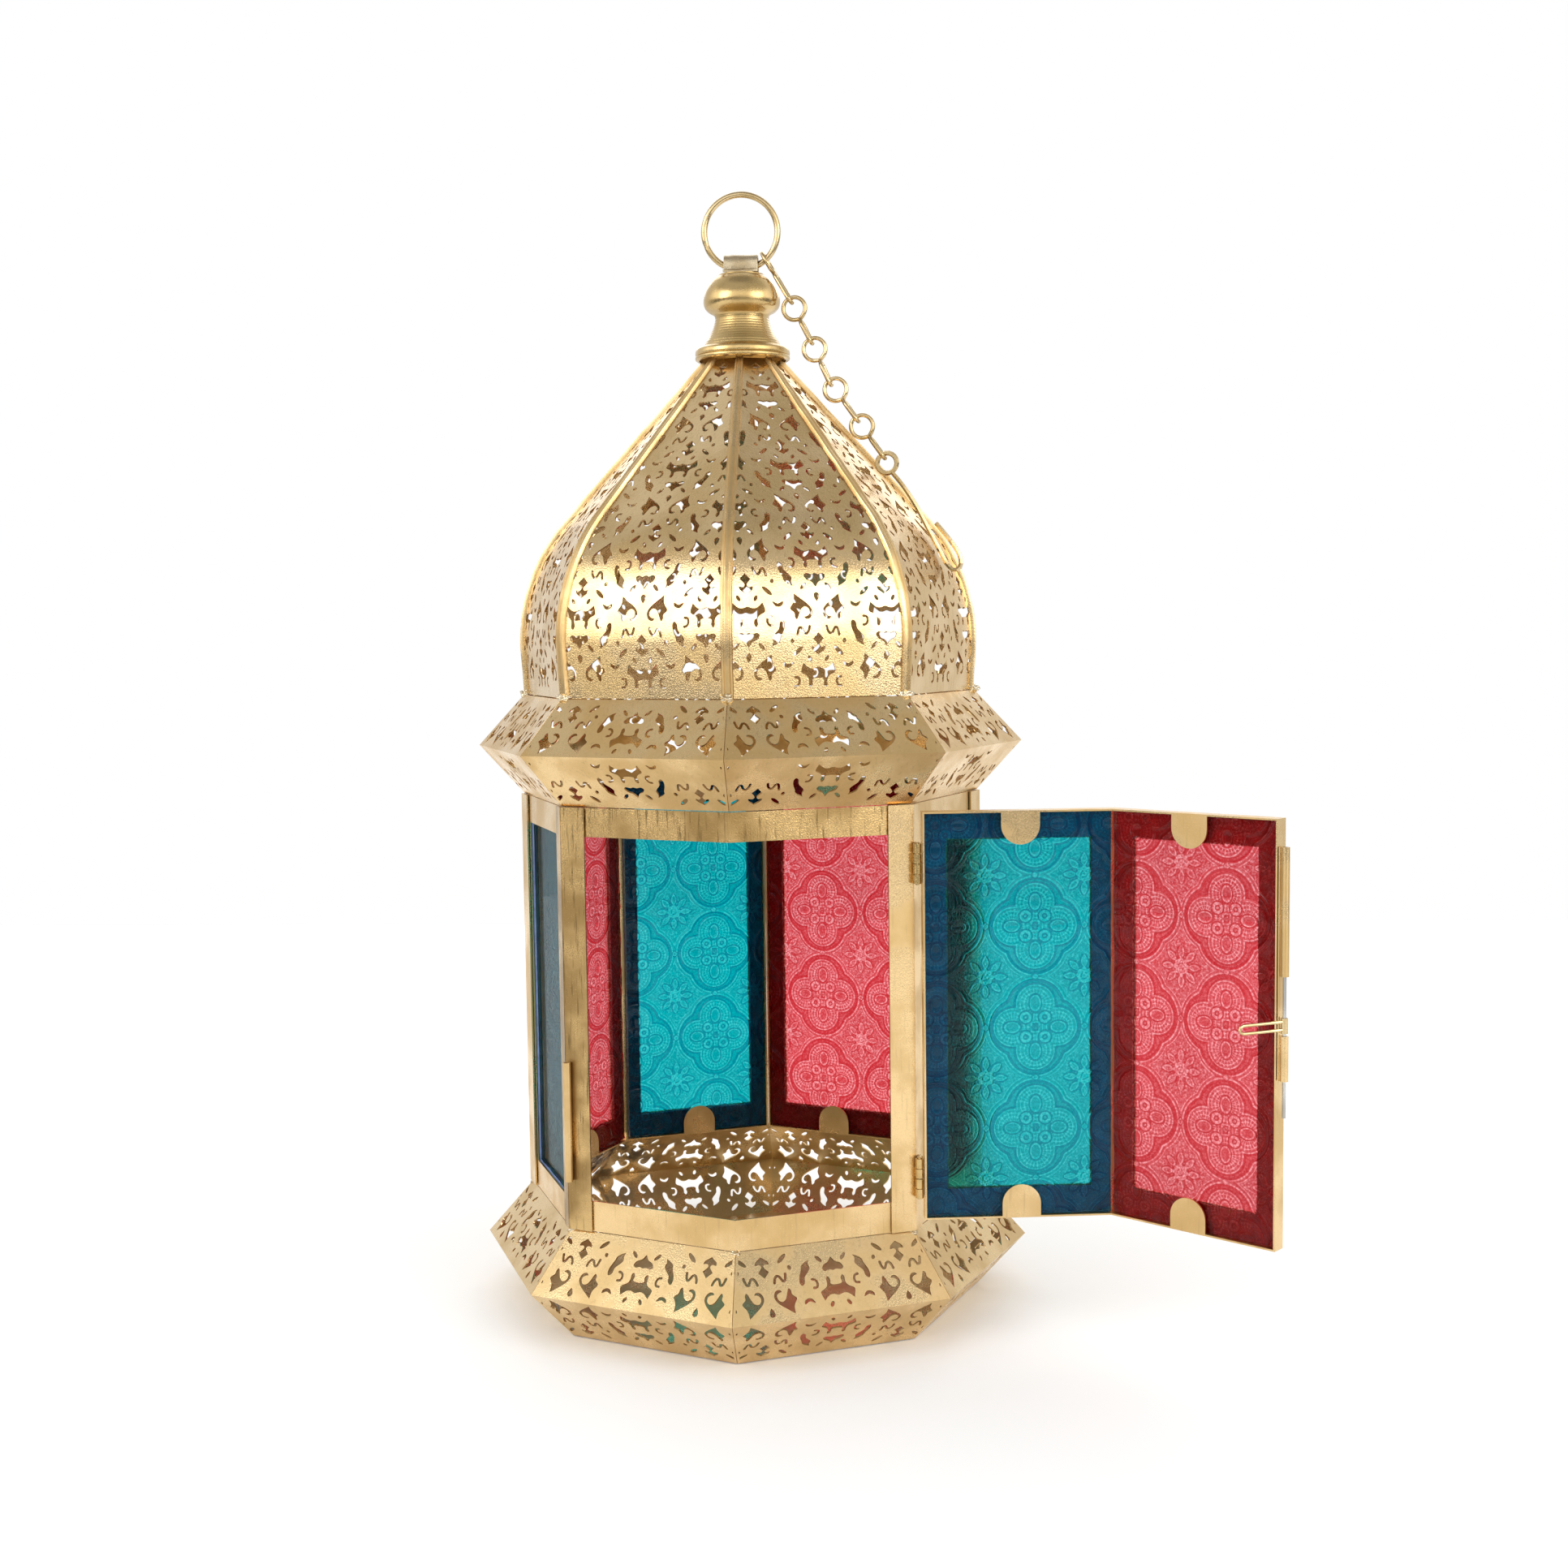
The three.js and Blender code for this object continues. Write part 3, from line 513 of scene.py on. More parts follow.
def dome_levels():
    """Lengths up the dome at which its panels are bent."""
    bend_start = BEND_Z - DOME_LOW
    count = int((BEND_END - bend_start) / BEND_STEP)
    bend = [bend_start + (BEND_END - bend_start) * i / count for i in range(count + 1)]
    cone = [BEND_END + (DOME_LENGTH - BEND_END) * i / 4 for i in (1, 2, 3)]
    return [0, *bend, *cone, DOME_LENGTH]


def dome_panel(k, flat, triangles):
    vertices, normals = [], []
    for x, s in flat:
        r, z, lean = dome_place(s)
        vertices.append((x, r * COS, z))
        normals.append((0, math.cos(lean), math.sin(lean)))
    obj = sheet_object(f"dome_panel_{k + 1}_pierced", vertices, normals, triangles, side_matrix(k))
    finish_piece(obj, "lantern", GOLD_DOME, [f"dome_panel_{k + 1}"])


def dome_half_width(s):
    return dome_place(s)[0] * COS * TAN - SEAM


dome_flat, dome_triangles = pierced_faces(
    dome_levels(), dome_half_width, stock_holes(DOME_LENGTH, DOME_STRIP, DOME_PHASE), DOME_CLEAR)
for k in range(SIDES):
    dome_panel(k, dome_flat, dome_triangles)


RIB_SECTION = [(-1.95, -0.9), (-2.0, 0.2), (-1.75, 0.75), (-1.2, 0.8), (-0.8, 0.3), (0, 0.42), (0.8, 0.3),
               (1.2, 0.8), (1.75, 0.75), (2.0, 0.2), (1.95, -0.9), (0, -0.35)]
RIB_STEPS = 60
RIB_FULL_R = 30  # nearer to the axis a rib narrows
RIB_TOP_R = 14
RIB_TOP_WIDTH = 0.72
RIB_RAISED = 0.25


def rib(k):
    """A folded seam strip over corner k of the dome: flat, with a raised lip along both edges."""
    angle = -math.pi / 2 + k * STEP
    out = Vector((math.cos(angle), math.sin(angle), 0))
    across = Vector((-out.y, out.x, 0))
    vertices, faces = [], []
    for i in range(RIB_STEPS + 1):
        s = DOME_LENGTH * i / RIB_STEPS
        r, z, lean = dome_place(s)
        normal = out * math.cos(lean) + Vector((0, 0, math.sin(lean)))
        wobble = 0.12 * noise.noise(Vector((s * 0.13, k * 7.1, 0)))
        share = min((r - RIB_TOP_R) / (RIB_FULL_R - RIB_TOP_R), 1)
        narrow = RIB_TOP_WIDTH + (1 - RIB_TOP_WIDTH) * share
        for x, y in RIB_SECTION:
            fold = abs(x) * TAN * 0.425
            vertices.append(out * r + Vector((0, 0, z)) + normal * (y + RIB_RAISED - fold + wobble)
                            + across * (x * narrow + wobble))
    n = len(RIB_SECTION)
    for i in range(RIB_STEPS):
        for j in range(n):
            a, b = i * n + j, i * n + (j + 1) % n
            faces.append((a, b, b + n, a + n))
    faces += [tuple(range(n))[::-1], tuple(range(RIB_STEPS * n, RIB_STEPS * n + n))]
    obj = mesh_object(f"dome_rib_{k + 1}", vertices, faces)
    smooth_by_angle(obj, 50)
    finish_piece(obj, "lantern", GOLD_SHEET)


for k in range(SIDES):
    rib(k)

# ---------------------------------------------------------------- pressed glass
CELL_X = 34.0  # repeat of the pattern: a medallion in each cell, a flower where four cells meet
CELL_Z = 35.0
MEDALLION = [(5.6, 0), (-5.6, 0), (0, 6.5), (0, -6.5)]
MEDALLION_R = 10.5
LOBES = [(7.7, 0), (-7.7, 0), (0, 8.1), (0, -8.1)]
LOBE_R = 6.5
PETAL_FROM = 2.9
PETAL_TO = 7.5
NO_PETAL = 1.6  # distance told outside the petals
GRID = 0.6  # between the vertices of a pane
PANE_FRONT = 0.75  # from the inner face of the CAD pane's box to the ground of the relief
PANE_BACK = 0.9  # from the box's outer face to the flat face
BACK_FACE = 99.0  # every field on the flat outer face


def circles(x, z, places, radius):
    """Signed distance to the outline of a few equal circles."""
    return np.min([np.hypot(x - cx, z - cz) - radius for cx, cz in places], axis=0)


def glass_fields(x, z):
    """Signed distances, in millimetres, to the outlines of the pressed pattern at each point,
    and in "bead" the direction from the middle of the nearest lobe."""
    px = (x + CELL_X / 2) % CELL_X - CELL_X / 2
    pz = (z + CELL_Z / 2) % CELL_Z - CELL_Z / 2
    border = circles(px, pz, MEDALLION, MEDALLION_R)
    band = circles(px, pz, LOBES, LOBE_R)
    upright_drops = np.hypot(px / 1.8, (np.abs(pz) - 8.3) / 2.7)
    lying_drops = np.hypot((np.abs(px) - 8.0) / 2.6, pz / 1.8)
    drops = (np.minimum(upright_drops, lying_drops) - 1) * 2
    curls = np.abs(np.hypot(np.abs(px) - 3.3, np.abs(pz) - 3.4) - 1.5) - 0.35
    heart = np.abs(px) + np.abs(pz) - 1.0
    centre = np.minimum(np.minimum(drops, curls), heart)
    fx = x % CELL_X - CELL_X / 2
    fz = z % CELL_Z - CELL_Z / 2
    radius = np.hypot(fx, fz)
    sector = (np.arctan2(fz, fx) + math.pi / 8) % (math.pi / 4) - math.pi / 8
    along, across = radius * np.cos(sector), np.abs(radius * np.sin(sector))
    leaf = ((along - PETAL_FROM) / (PETAL_TO - PETAL_FROM)).clip(0, 1)
    petal = across - 1.05 * np.sin(math.pi * leaf ** 0.8)
    petal = np.where((along < PETAL_FROM) | (along > PETAL_TO), np.maximum(petal, NO_PETAL), petal)
    bud = np.hypot(along - 2.05, across) - 0.72
    flower = np.minimum(np.minimum(petal, bud), radius - 0.8)
    nearest = np.argmin([np.hypot(px - cx, pz - cz) for cx, cz in LOBES], axis=0)
    lobe_x = np.choose(nearest, [cx for cx, _ in LOBES])
    lobe_z = np.choose(nearest, [cz for _, cz in LOBES])
    bead = np.arctan2(pz - lobe_z, px - lobe_x)
    beside = np.abs(np.abs(px) - CELL_X / 2) + np.abs(pz)
    above = np.abs(px) + np.abs(np.abs(pz) - CELL_Z / 2)
    diamond = np.minimum(beside, above) - 1.1
    flower = np.minimum(flower, diamond)
    return {"border": border, "band": band, "centre": centre, "flower": flower, "bead": bead}


def ridge(distance, width):
    return np.exp(-(distance / width) ** 2)


def glass_relief(fields):
    """How far the pressed surface stands out, in millimetres."""
    step = lambda d, w: 1 / (1 + np.exp(d / w))
    height = 0.22 * step(fields["border"], 0.25) + 0.2 * step(fields["band"], 0.2)
    height += 0.28 * ridge(fields["border"] - 0.1, 0.4) + 0.22 * ridge(fields["band"], 0.35)
    height -= 0.25 * step(fields["centre"], 0.25)
    height += 0.2 * ridge(fields["centre"], 0.3) + 0.3 * step(fields["flower"], 0.2)
    return height


def pane(name, node, matrix, body, slot, material, phase):
    """A pressed pane in the place of its CAD node: the relief inside, a flat face outside."""
    low, high = local_box(node, matrix)
    xs = np.linspace(low[0], high[0], int((high[0] - low[0]) / GRID))
    zs = np.linspace(low[2], high[2], int((high[2] - low[2]) / GRID))
    grid_x, grid_z = (axis.ravel() for axis in np.meshgrid(xs, zs))
    fields = glass_fields(grid_x - phase[0], grid_z - phase[1])
    front = low[1] + PANE_FRONT - glass_relief(fields)
    columns, rows = len(xs), len(zs)
    vertices = list(zip(grid_x, front, grid_z))
    faces = []
    for j in range(rows - 1):
        for i in range(columns - 1):
            a = j * columns + i
            faces.append((a, a + 1, a + columns + 1, a + columns))
    border = list(range(columns))
    border += [j * columns + columns - 1 for j in range(1, rows)]
    border += [(rows - 1) * columns + i for i in range(columns - 2, -1, -1)]
    border += [j * columns for j in range(rows - 2, 0, -1)]
    start = len(vertices)
    back_y = high[1] - PANE_BACK
    vertices += [(grid_x[i], back_y, grid_z[i]) for i in border]
    count = len(border)
    for i in range(count):
        j = (i + 1) % count
        faces.append((border[j], border[i], start + i, start + j))
    faces.append(tuple(reversed(range(start, start + count))))
    obj = mesh_object(name, vertices, faces, matrix)
    for field, values in fields.items():
        stored = obj.data.attributes.new(field, "FLOAT", "POINT")
        whole = np.concatenate([values, np.full(count, BACK_FACE)]).astype(np.float32)
        stored.data.foreach_set("value", whole)
    smooth_by_angle(obj, 60)
    finish_piece(obj, body, material, [node])


# Lines along the pattern's outlines, painted shade and painted highlight for the dark and bright pairs that
# refraction draws along the pressed relief: the field, the distance from its outline, and the line's half
# width.
PAINTED_SHADE_OUTLINES = [("border", -0.75, 0.62), ("band", 0.55, 0.5), ("flower", 0.38, 0.42), ("centre", 0.42, 0.36)]
PAINTED_HIGHLIGHT_OUTLINES = [("border", 0.05, 0.38), ("band", -0.02, 0.36), ("border", 1.25, 0.26), ("flower", -0.1, 0.34),
               ("centre", -0.1, 0.32)]
BEAD_PITCH = 2.6
BEADS_ROUND = 13.0


def glass_material(name, body_tint, deep, bright):
    """Clear tinted glass with the pressed lines drawn darker on one side and brighter on the other: painted
    shade and painted highlight for the refraction along the relief.
    """
    made, tree, shader, coords = new_material(name)
    fields = {key: attribute(tree, key) for key in ("border", "band", "centre", "flower", "bead")}

    def drawn(lines):
        """1 on the lines of a table and 0 away from them."""
        value = 0.0
        for field, offset, width in lines:
            away = calc(tree, "ABSOLUTE", calc(tree, "SUBTRACT", fields[field], offset))
            value = calc(tree, "MAXIMUM", value, ramp(tree, away, width * 0.4, width, 1.0, 0.0))
        return value

    # Painted shade and painted highlight: the dark and bright refraction lines along the relief.
    painted_shade_outlines = drawn(PAINTED_SHADE_OUTLINES)
    painted_highlight_outlines = drawn(PAINTED_HIGHLIGHT_OUTLINES)
    # Rows of beads round the middle of each lobe of the medallion.
    rows = calc(tree, "SINE", calc(tree, "MULTIPLY", fields["band"], 2 * math.pi / BEAD_PITCH))
    turns = calc(tree, "SINE", calc(tree, "MULTIPLY", fields["bead"], BEADS_ROUND))
    beads = calc(tree, "MULTIPLY", rows, turns)
    within = calc(tree, "MULTIPLY", ramp(tree, fields["band"], -0.75, -0.55, 1.0, 0.0),
                  ramp(tree, fields["band"], -4.1, -3.8, 0.0, 1.0))
    within = calc(tree, "MULTIPLY", within, ramp(tree, fields["centre"], 0.45, 0.65))
    ring = ramp(tree, calc(tree, "ABSOLUTE", beads), 0.18, 0.42, 1.0, 0.0)
    beading = calc(tree, "MULTIPLY", ring, within)
    stipple = ramp(tree, spots(tree, coords, 1300, 2, 0.8), 0.48, 0.56)
    ground = ramp(tree, fields["border"], 1.4, 1.8)
    stipple = calc(tree, "MULTIPLY", stipple, ground)
    tone = mixed(tree, ramp(tree, spots(tree, coords, 60, 2), 0.3, 0.7), colour(*body_tint),
                 colour(*[c * 0.9 for c in body_tint]))
    tone = mixed(tree, calc(tree, "MULTIPLY", stipple, 0.5), tone, colour(*bright))
    tone = mixed(tree, calc(tree, "MULTIPLY", beading, 0.95), tone, colour(*bright))
    tone = mixed(tree, calc(tree, "MULTIPLY", painted_highlight_outlines, 0.85), tone, colour(*bright))
    tone = mixed(tree, calc(tree, "MULTIPLY", painted_shade_outlines, 0.85), tone, colour(*deep))
    tree.links.new(tone, shader.inputs["Base Color"])
    shader.inputs["Transmission Weight"].default_value = 1.0
    shader.inputs["IOR"].default_value = 1.13
    tree.links.new(ramp(tree, fields["border"], 30, 60, 0.4, 0.0), shader.inputs["Coat Weight"])
    shader.inputs["Coat IOR"].default_value = 1.5
    shader.inputs["Coat Roughness"].default_value = 0.06
    shader.inputs["Roughness"].default_value = 0.05
    height = calc(tree, "ADD", calc(tree, "MULTIPLY", beading, 0.8), calc(tree, "MULTIPLY", stipple, 0.5))
    height = calc(tree, "ADD", height, calc(tree, "MULTIPLY", painted_highlight_outlines, 1.0))
    height = calc(tree, "SUBTRACT", height, calc(tree, "MULTIPLY", painted_shade_outlines, 1.0))
    bump = add(tree, "ShaderNodeBump", {"Height": height, "Strength": 0.6, "Distance": 0.3 * MM})
    tree.links.new(bump.outputs[0], shader.inputs["Normal"])
    gloss = add(tree, "ShaderNodeBump", {"Height": height, "Strength": 1.0, "Distance": 0.5 * MM})
    tree.links.new(gloss.outputs[0], shader.inputs["Coat Normal"])
    return made


# Widths of the dark backing behind each pane, painted shade for the tray's border that lies in shadow behind
# the glass: at the left and right of a fixed pane, of the door's turquoise pane, and at the ends.
SHADE_BACKING_SIDES = (5.4, 5.4)
DOOR_SHADE_BACKING_SIDES = (7.5, 6.2)
SHADE_BACKING_END = 8.7
SHADE_BACKING_THICK = 0.78
SHADE_BACKING_RAGGED = 0.3


def shade_backing(name, node, matrix, body, material, sides=SHADE_BACKING_SIDES):
    """A dark backing between the pane and the border of its tray, with an uneven inner edge: painted shade
    where that border lies in shadow behind the glass.
    """
    low, high = local_box(node, matrix)
    near, far = high[1] - SHADE_BACKING_THICK, high[1]
    outer = [(low[0], low[2]), (high[0], low[2]), (high[0], high[2]), (low[0], high[2])]
    left, right = low[0] + sides[0], high[0] - sides[1]
    bottom, top = low[2] + SHADE_BACKING_END, high[2] - SHADE_BACKING_END
    window = [(left, bottom), (right, bottom), (right, top), (left, top)]
    rings = []
    for ring, ragged in ((outer, 0), (window, SHADE_BACKING_RAGGED)):
        line = []
        for (x0, z0), (x1, z1) in zip(ring, [*ring[1:], ring[0]]):
            steps = 12 if x1 - x0 and not z1 - z0 else 40
            for i in range(steps):
                x, z = x0 + (x1 - x0) * i / steps, z0 + (z1 - z0) * i / steps
                pull = ragged * noise.noise(Vector((x * 0.9, z * 0.9, low[1])))
                line.append((x + pull, z + pull))
        rings.append(line)
    count = len(rings[0])
    vertices = [(x, y, z) for y in (near, far) for line in rings for x, z in line]
    faces = []
    back = 2 * count
    for i in range(count):
        j = (i + 1) % count
        a, b, c, d = i, j, count + j, count + i
        faces += [(a, b, c, d), (back + d, back + c, back + b, back + a)]
        faces += [(b, a, back + a, back + b), (d, c, back + c, back + d)]
    obj = mesh_object(name, vertices, faces, matrix)
    finish_piece(obj, body, material)


def shade_backing_material(name, tint):
    # The backing's colour is painted shade, seen through the glass over the tray's shadowed border.
    made, tree, shader, coords = new_material(name)
    clouds = ramp(tree, spots(tree, coords, 260, 3, 0.6), 0.3, 0.7)
    tone = mixed(tree, clouds, colour(*[c * 0.7 for c in tint]), colour(*tint))
    tree.links.new(tone, shader.inputs["Base Color"])
    tree.links.new(ramp(tree, spots(tree, coords, 900, 2), 0.3, 0.7, 0.55, 0.8), shader.inputs["Roughness"])
    bump = add(tree, "ShaderNodeBump", {"Height": spots(tree, coords, 700, 3), "Strength": 0.4,
                                        "Distance": 0.2 * MM})
    tree.links.new(bump.outputs[0], shader.inputs["Normal"])
    return made


BLUE_GLASS = glass_material("blue_glass", (0.0, 0.31, 0.36), (0.0, 0.13, 0.23), (0.05, 0.60, 0.60))
RED_GLASS = glass_material("red_glass", (0.60, 0.038, 0.050), (0.46, 0.002, 0.006), (0.97, 0.48, 0.52))
GLASSES = {"blue": ("blue_glass", BLUE_GLASS), "red": ("red_glass", RED_GLASS)}
# Backings of painted shade behind the panes, one colour for each glass.
SHADE_BACKINGS = {"blue": shade_backing_material("blue_shade_backing", (0.36, 0.42, 0.75)),
        "red": shade_backing_material("red_shade_backing", (0.55, 0.24, 0.20))}
# The middle of a medallion on each fixed pane: where the sheet of glass was cut.
PHASES = [(-6.5, 101.0), (3.5, 108.5), (-4.8, 96.2), (8.0, 114.2), (10.6, 104.8), (-2.4, 111.6)]

# Each fixed pane, with its backing of painted shade behind it.
for k in range(1, SIDES - 1):
    tint = "red" if k % 2 else "blue"
    node = f"{tint}_pane_{k}"
    pane(f"{tint}_glass_{k}", node, side_matrix(k), "lantern", *GLASSES[tint], PHASES[k - 1])
    shade_backing(f"{tint}_shade_backing_{k}", node, side_matrix(k), "lantern", SHADE_BACKINGS[tint])
pane("door_blue_glass", "door_blue_pane", door_matrix(0), "door", "blue_glass", BLUE_GLASS, (6.8, 109.4))
pane("door_red_glass", "door_red_pane", door_matrix(SIDES - 1), "door", "red_glass", RED_GLASS, (10.2, 115.2))
# Backings of painted shade behind the door's panes.
shade_backing("door_blue_shade_backing", "door_blue_pane", door_matrix(0), "door", SHADE_BACKINGS["blue"], DOOR_SHADE_BACKING_SIDES)
shade_backing("door_red_shade_backing", "door_red_pane", door_matrix(SIDES - 1), "door", SHADE_BACKINGS["red"],
        DOOR_SHADE_BACKING_SIDES[::-1])


# ---------------------------------------------------------------- sheet parts that keep their CAD shape
def dress(node, material, bevel=0.18):
    """A CAD node's own mesh with its material, and with small bevels unless `bevel` is 0."""
    obj = frame["nodes"][node]
    obj.data.materials.clear()
    obj.data.materials.append(material)
    if bevel:
        bevelled(obj, bevel)


for node in ("wall_right", "wall_back_right", "wall_back_left", "wall_left", "door_frame", "right_post",
             "bottom_rail"):
    dress(node, GOLD_SHEET)
for node in ("left_post", "top_rail"):
    dress(node, GOLD_WORN)
dress("floor_plate", GOLD_BASE, 0.25)


# ---------------------------------------------------------------- hinges and slide bolt
for level in ("lower", "upper"):
    for side in ("post", "door"):
        dress(f"{level}_hinge_{side}_leaf", GOLD_CAST, 0.06)
for node in ("latch_guides", "latch_keeper_tube"):
    dress(node, GOLD_SHEET, 0.06)
dress("latch_rod", STEEL, 0.1)
dress("latch_handle", GOLD_WIRE, 0)

# ---------------------------------------------------------------- finial, strap and ring
FINIAL_LOW, FINIAL_HIGH = (corner.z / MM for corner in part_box("finial"))
GROOVE_DEPTH = 0.06
GROOVE_PITCH = 0.95
GROOVES_FROM = 5.2
GROOVES_TO = 15.8
BORE_R = 0.3


def finial():
    """A spun shell: a stepped collar, a waisted cone with turning grooves, and a flattened ball."""
    outside = [(16.7, 0), (17.3, 0.5), (17.3, 1.4), (16.9, 1.7), (17.3, 2.1), (17.2, 3.5), (16.5, 4.3),
               (14.6, 4.8), (13.9, 5.6), (13.2, 7.0), (12.1, 8.8), (11.2, 10.6), (10.5, 12.3), (10.0, 14.0),
               (9.8, 15.4), (10.2, 16.5), (11.0, 17.1), (12.4, 17.9), (13.6, 19.3), (14.05, 21.2),
               (13.7, 23.6), (12.6, 26.3), (10.8, 28.8), (8.6, 30.5), (7.6, 31.1), (0.4, 31.1)]
    line = open_spline([(r, 0, z) for r, z in outside], 6)
    profile = []
    for point in line:
        z = point.z
        groove = GROOVE_DEPTH * math.sin(2 * math.pi * z / GROOVE_PITCH)
        r = point.x + (groove if GROOVES_FROM < z < GROOVES_TO else 0.0)
        profile.append((max(r, BORE_R), FINIAL_LOW + z))
    inner = [(BORE_R, FINIAL_HIGH - 1.0), (7.4, FINIAL_HIGH - 1.4), (11.4, FINIAL_LOW + 26),
             (12.8, FINIAL_LOW + 21.3), (8.5, FINIAL_LOW + 15.2), (12.6, FINIAL_LOW + 5.4),
             (15.9, FINIAL_LOW + 3), (15.9, FINIAL_LOW)]
    obj = lathe("finial_spun", profile + inner, 96)
    finish_piece(obj, "lantern", GOLD_CAST, ["finial"])


finial()


def strap():
    """The strap folded over the ring's foot, hammered down by hand."""
    low, high = (np.array(corner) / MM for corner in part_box("strap_eye"))
    bend = 3.4
    thickness = 0.38  # to each side of the strap's middle line
    centre = high[2] - bend - 0.4
    foot, knee = low[2] + 0.5, low[2] + 1.2
    path = [(-5.4, foot), (-4.2, foot), (-bend, knee), (-bend, centre)]
    path += [(-bend * math.cos(a), centre + bend * math.sin(a)) for a in np.linspace(0.3, math.pi - 0.3, 9)]
    path += [(bend, centre), (bend, knee), (4.2, foot), (5.4, foot)]
    widths = 15
    half = (high[0] - low[0]) / 2
    vertices, faces = [], []
    for layer in (1, -1):
        for i, (y, z) in enumerate(path):
            before, after = path[max(i - 1, 0)], path[min(i + 1, len(path) - 1)]
            along = Vector((after[0] - before[0], after[1] - before[1])).normalized()
            for j in range(widths):
                x = -half + 2 * half * j / (widths - 1)
                dent = 0.25 * noise.noise(Vector((x * 0.35, y * 0.5, z * 0.5)))
                offset = layer * thickness + dent
                vertices.append((x * (1 - 0.03 * dent), y - along.y * offset, z + along.x * offset))
    rows = len(path)
    sheet = rows * widths
    for i in range(rows - 1):
        for j in range(widths - 1):
            a = i * widths + j
            faces.append((a, a + 1, a + widths + 1, a + widths))
            b = sheet + a
            faces.append((b, b + widths, b + widths + 1, b + 1))
    for i in range(rows - 1):
        for j, flip in ((0, False), (widths - 1, True)):
            a = i * widths + j
            quad = (a, a + widths, sheet + a + widths, sheet + a)
            faces.append(quad[::-1] if flip else quad)
    for j in range(widths - 1):
        for i, flip in ((0, True), (rows - 1, False)):
            a = i * widths + j
            quad = (a, a + 1, sheet + a + 1, sheet + a)
            faces.append(quad if flip else quad[::-1])
    obj = mesh_object("strap_folded", vertices, faces)
    bevelled(obj, 0.15, 50)
    smooth_by_angle(obj, 50)
    finish_piece(obj, "lantern", SOLDER, ["strap_eye"])


strap()


RING_POINTS = 72
RING_SEAM_ANGLE = math.radians(200)
RING_SEAM_WIRE = 0.86  # the wire is thinner where its ends meet


def carry_ring():
    low, high = (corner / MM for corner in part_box("carry_ring"))
    wire = (high.y - low.y) / 2
    centre = (low + high) / 2
    radius = (high.x - low.x) / 2 - wire
    points, radii = [], []
    for i in range(RING_POINTS):
        angle = 2 * math.pi * i / RING_POINTS + RING_SEAM_ANGLE
        points.append(centre + Vector((math.cos(angle), 0, math.sin(angle))) * radius)
        away = min(min(i, RING_POINTS - i) / 1.2, 1.0)
        radii.append(RING_SEAM_WIRE + (1 - RING_SEAM_WIRE) * away)
    obj = wire_object("carry_ring_wire", points, wire, cyclic=True, radii=radii)
    finish_piece(obj, "ring", GOLD_WIRE, ["carry_ring"])


carry_ring()

# ---------------------------------------------------------------- chain and hook
CHAIN_WIRE = 0.75  # radius of the wire
EYE_R = 4.1
EYE_FROM = -62  # degrees round the eye at which the wire comes in
EYE_TURN = 304  # degrees that it then goes round
EYE_STEPS = 28
LOOP_R = 1.8
RING_SEAT = 2.45
ACROSS = -Vector(JOINTS["link_1_swing"]["axis"])
swings = [f"link_{i}_swing" for i in range(1, 6)] + ["hook_swing"]
contacts = [Vector(JOINTS[name]["pos_m"]) / MM for name in swings]
contacts[0] = contacts[0] - (contacts[1] - contacts[0]).normalized() * RING_SEAT


def chain_link(i, top, bottom):
    """One wire bent round a large eye, crossed at the neck and turned into a small loop at right angles."""
    way = bottom - top
    length = way.length
    up = -way.normalized()
    side = (ACROSS - up * ACROSS.dot(up)).normalized()
    flat = i == 0
    x_axis, y_axis = (side, up.cross(side)) if flat else (side.cross(up), side)
    matrix = Matrix.Translation(top * MM) @ Matrix((x_axis, y_axis, up)).transposed().to_4x4()
    eye = []
    for step in range(EYE_STEPS + 1):
        share = step / EYE_STEPS
        angle = math.radians(EYE_FROM + EYE_TURN * share)
        eye.append((EYE_R * 0.98 * math.cos(angle), 0.35 * math.sin(share * math.pi * 2),
                    -EYE_R + EYE_R * math.sin(angle)))

    def leg(sign):
        """From the neck under the eye down to the small loop."""
        neck = -2 * EYE_R
        places = [(0.45, neck - 0.5), (1.3, neck - 2.0), (LOOP_R, neck - 3.4)]
        places += [(LOOP_R * math.cos(a), -length - LOOP_R * math.sin(a)) for a in (0, 0.5, 1.0, 1.4)]
        places.append((0.15, -length - LOOP_R))
        return [((0, sign * y, z) if not flat else (sign * y, 0, z)) for y, z in places]

    first, second = leg(1), leg(-1)
    points = open_spline([*reversed(first), *eye[::2], *second], 4)
    obj = wire_object(f"chain_link_{i + 1}_wire", points, CHAIN_WIRE, matrix=matrix)
    finish_piece(obj, f"link_{i + 1}", GOLD_WIRE, [f"chain_link_{i + 1}"])


for i in range(len(contacts) - 1):
    chain_link(i, contacts[i], contacts[i + 1])
dress("chain_hook", GOLD_WIRE, 0)
frame["nodes"]["chain_hook"].data.shade_smooth()


# ---------------------------------------------------------------- solder
EAVE_LUMP = (2.4, 2.4, 1.5)
BASE_LUMP = (1.6, 1.6, 1.2)
BASE_SEED = 20


def solder(name, place, size, seed):
    """A run of solder: a lump pulled out unevenly by noise."""
    made = bmesh.new()
    bmesh.ops.create_icosphere(made, subdivisions=4, radius=1.0)
    for vertex in made.verts:
        spot = vertex.co * 1.6 + Vector((seed * 3.7, 0, 0))
        swell = 1 + 0.55 * noise.noise(spot) + 0.22 * noise.noise(spot * 3.1)
        vertex.co = Vector([c * s for c, s in zip(vertex.co * swell, size)])
    mesh = bpy.data.meshes.new(name)
    made.to_mesh(mesh)
    made.free()
    mesh.shade_smooth()
    mesh.transform(Matrix.Translation(Vector(place) * MM) @ Matrix.Scale(MM, 4))
    obj = bpy.data.objects.new(name, mesh)
    bpy.context.scene.collection.objects.link(obj)
    finish_piece(obj, "lantern", SOLDER)


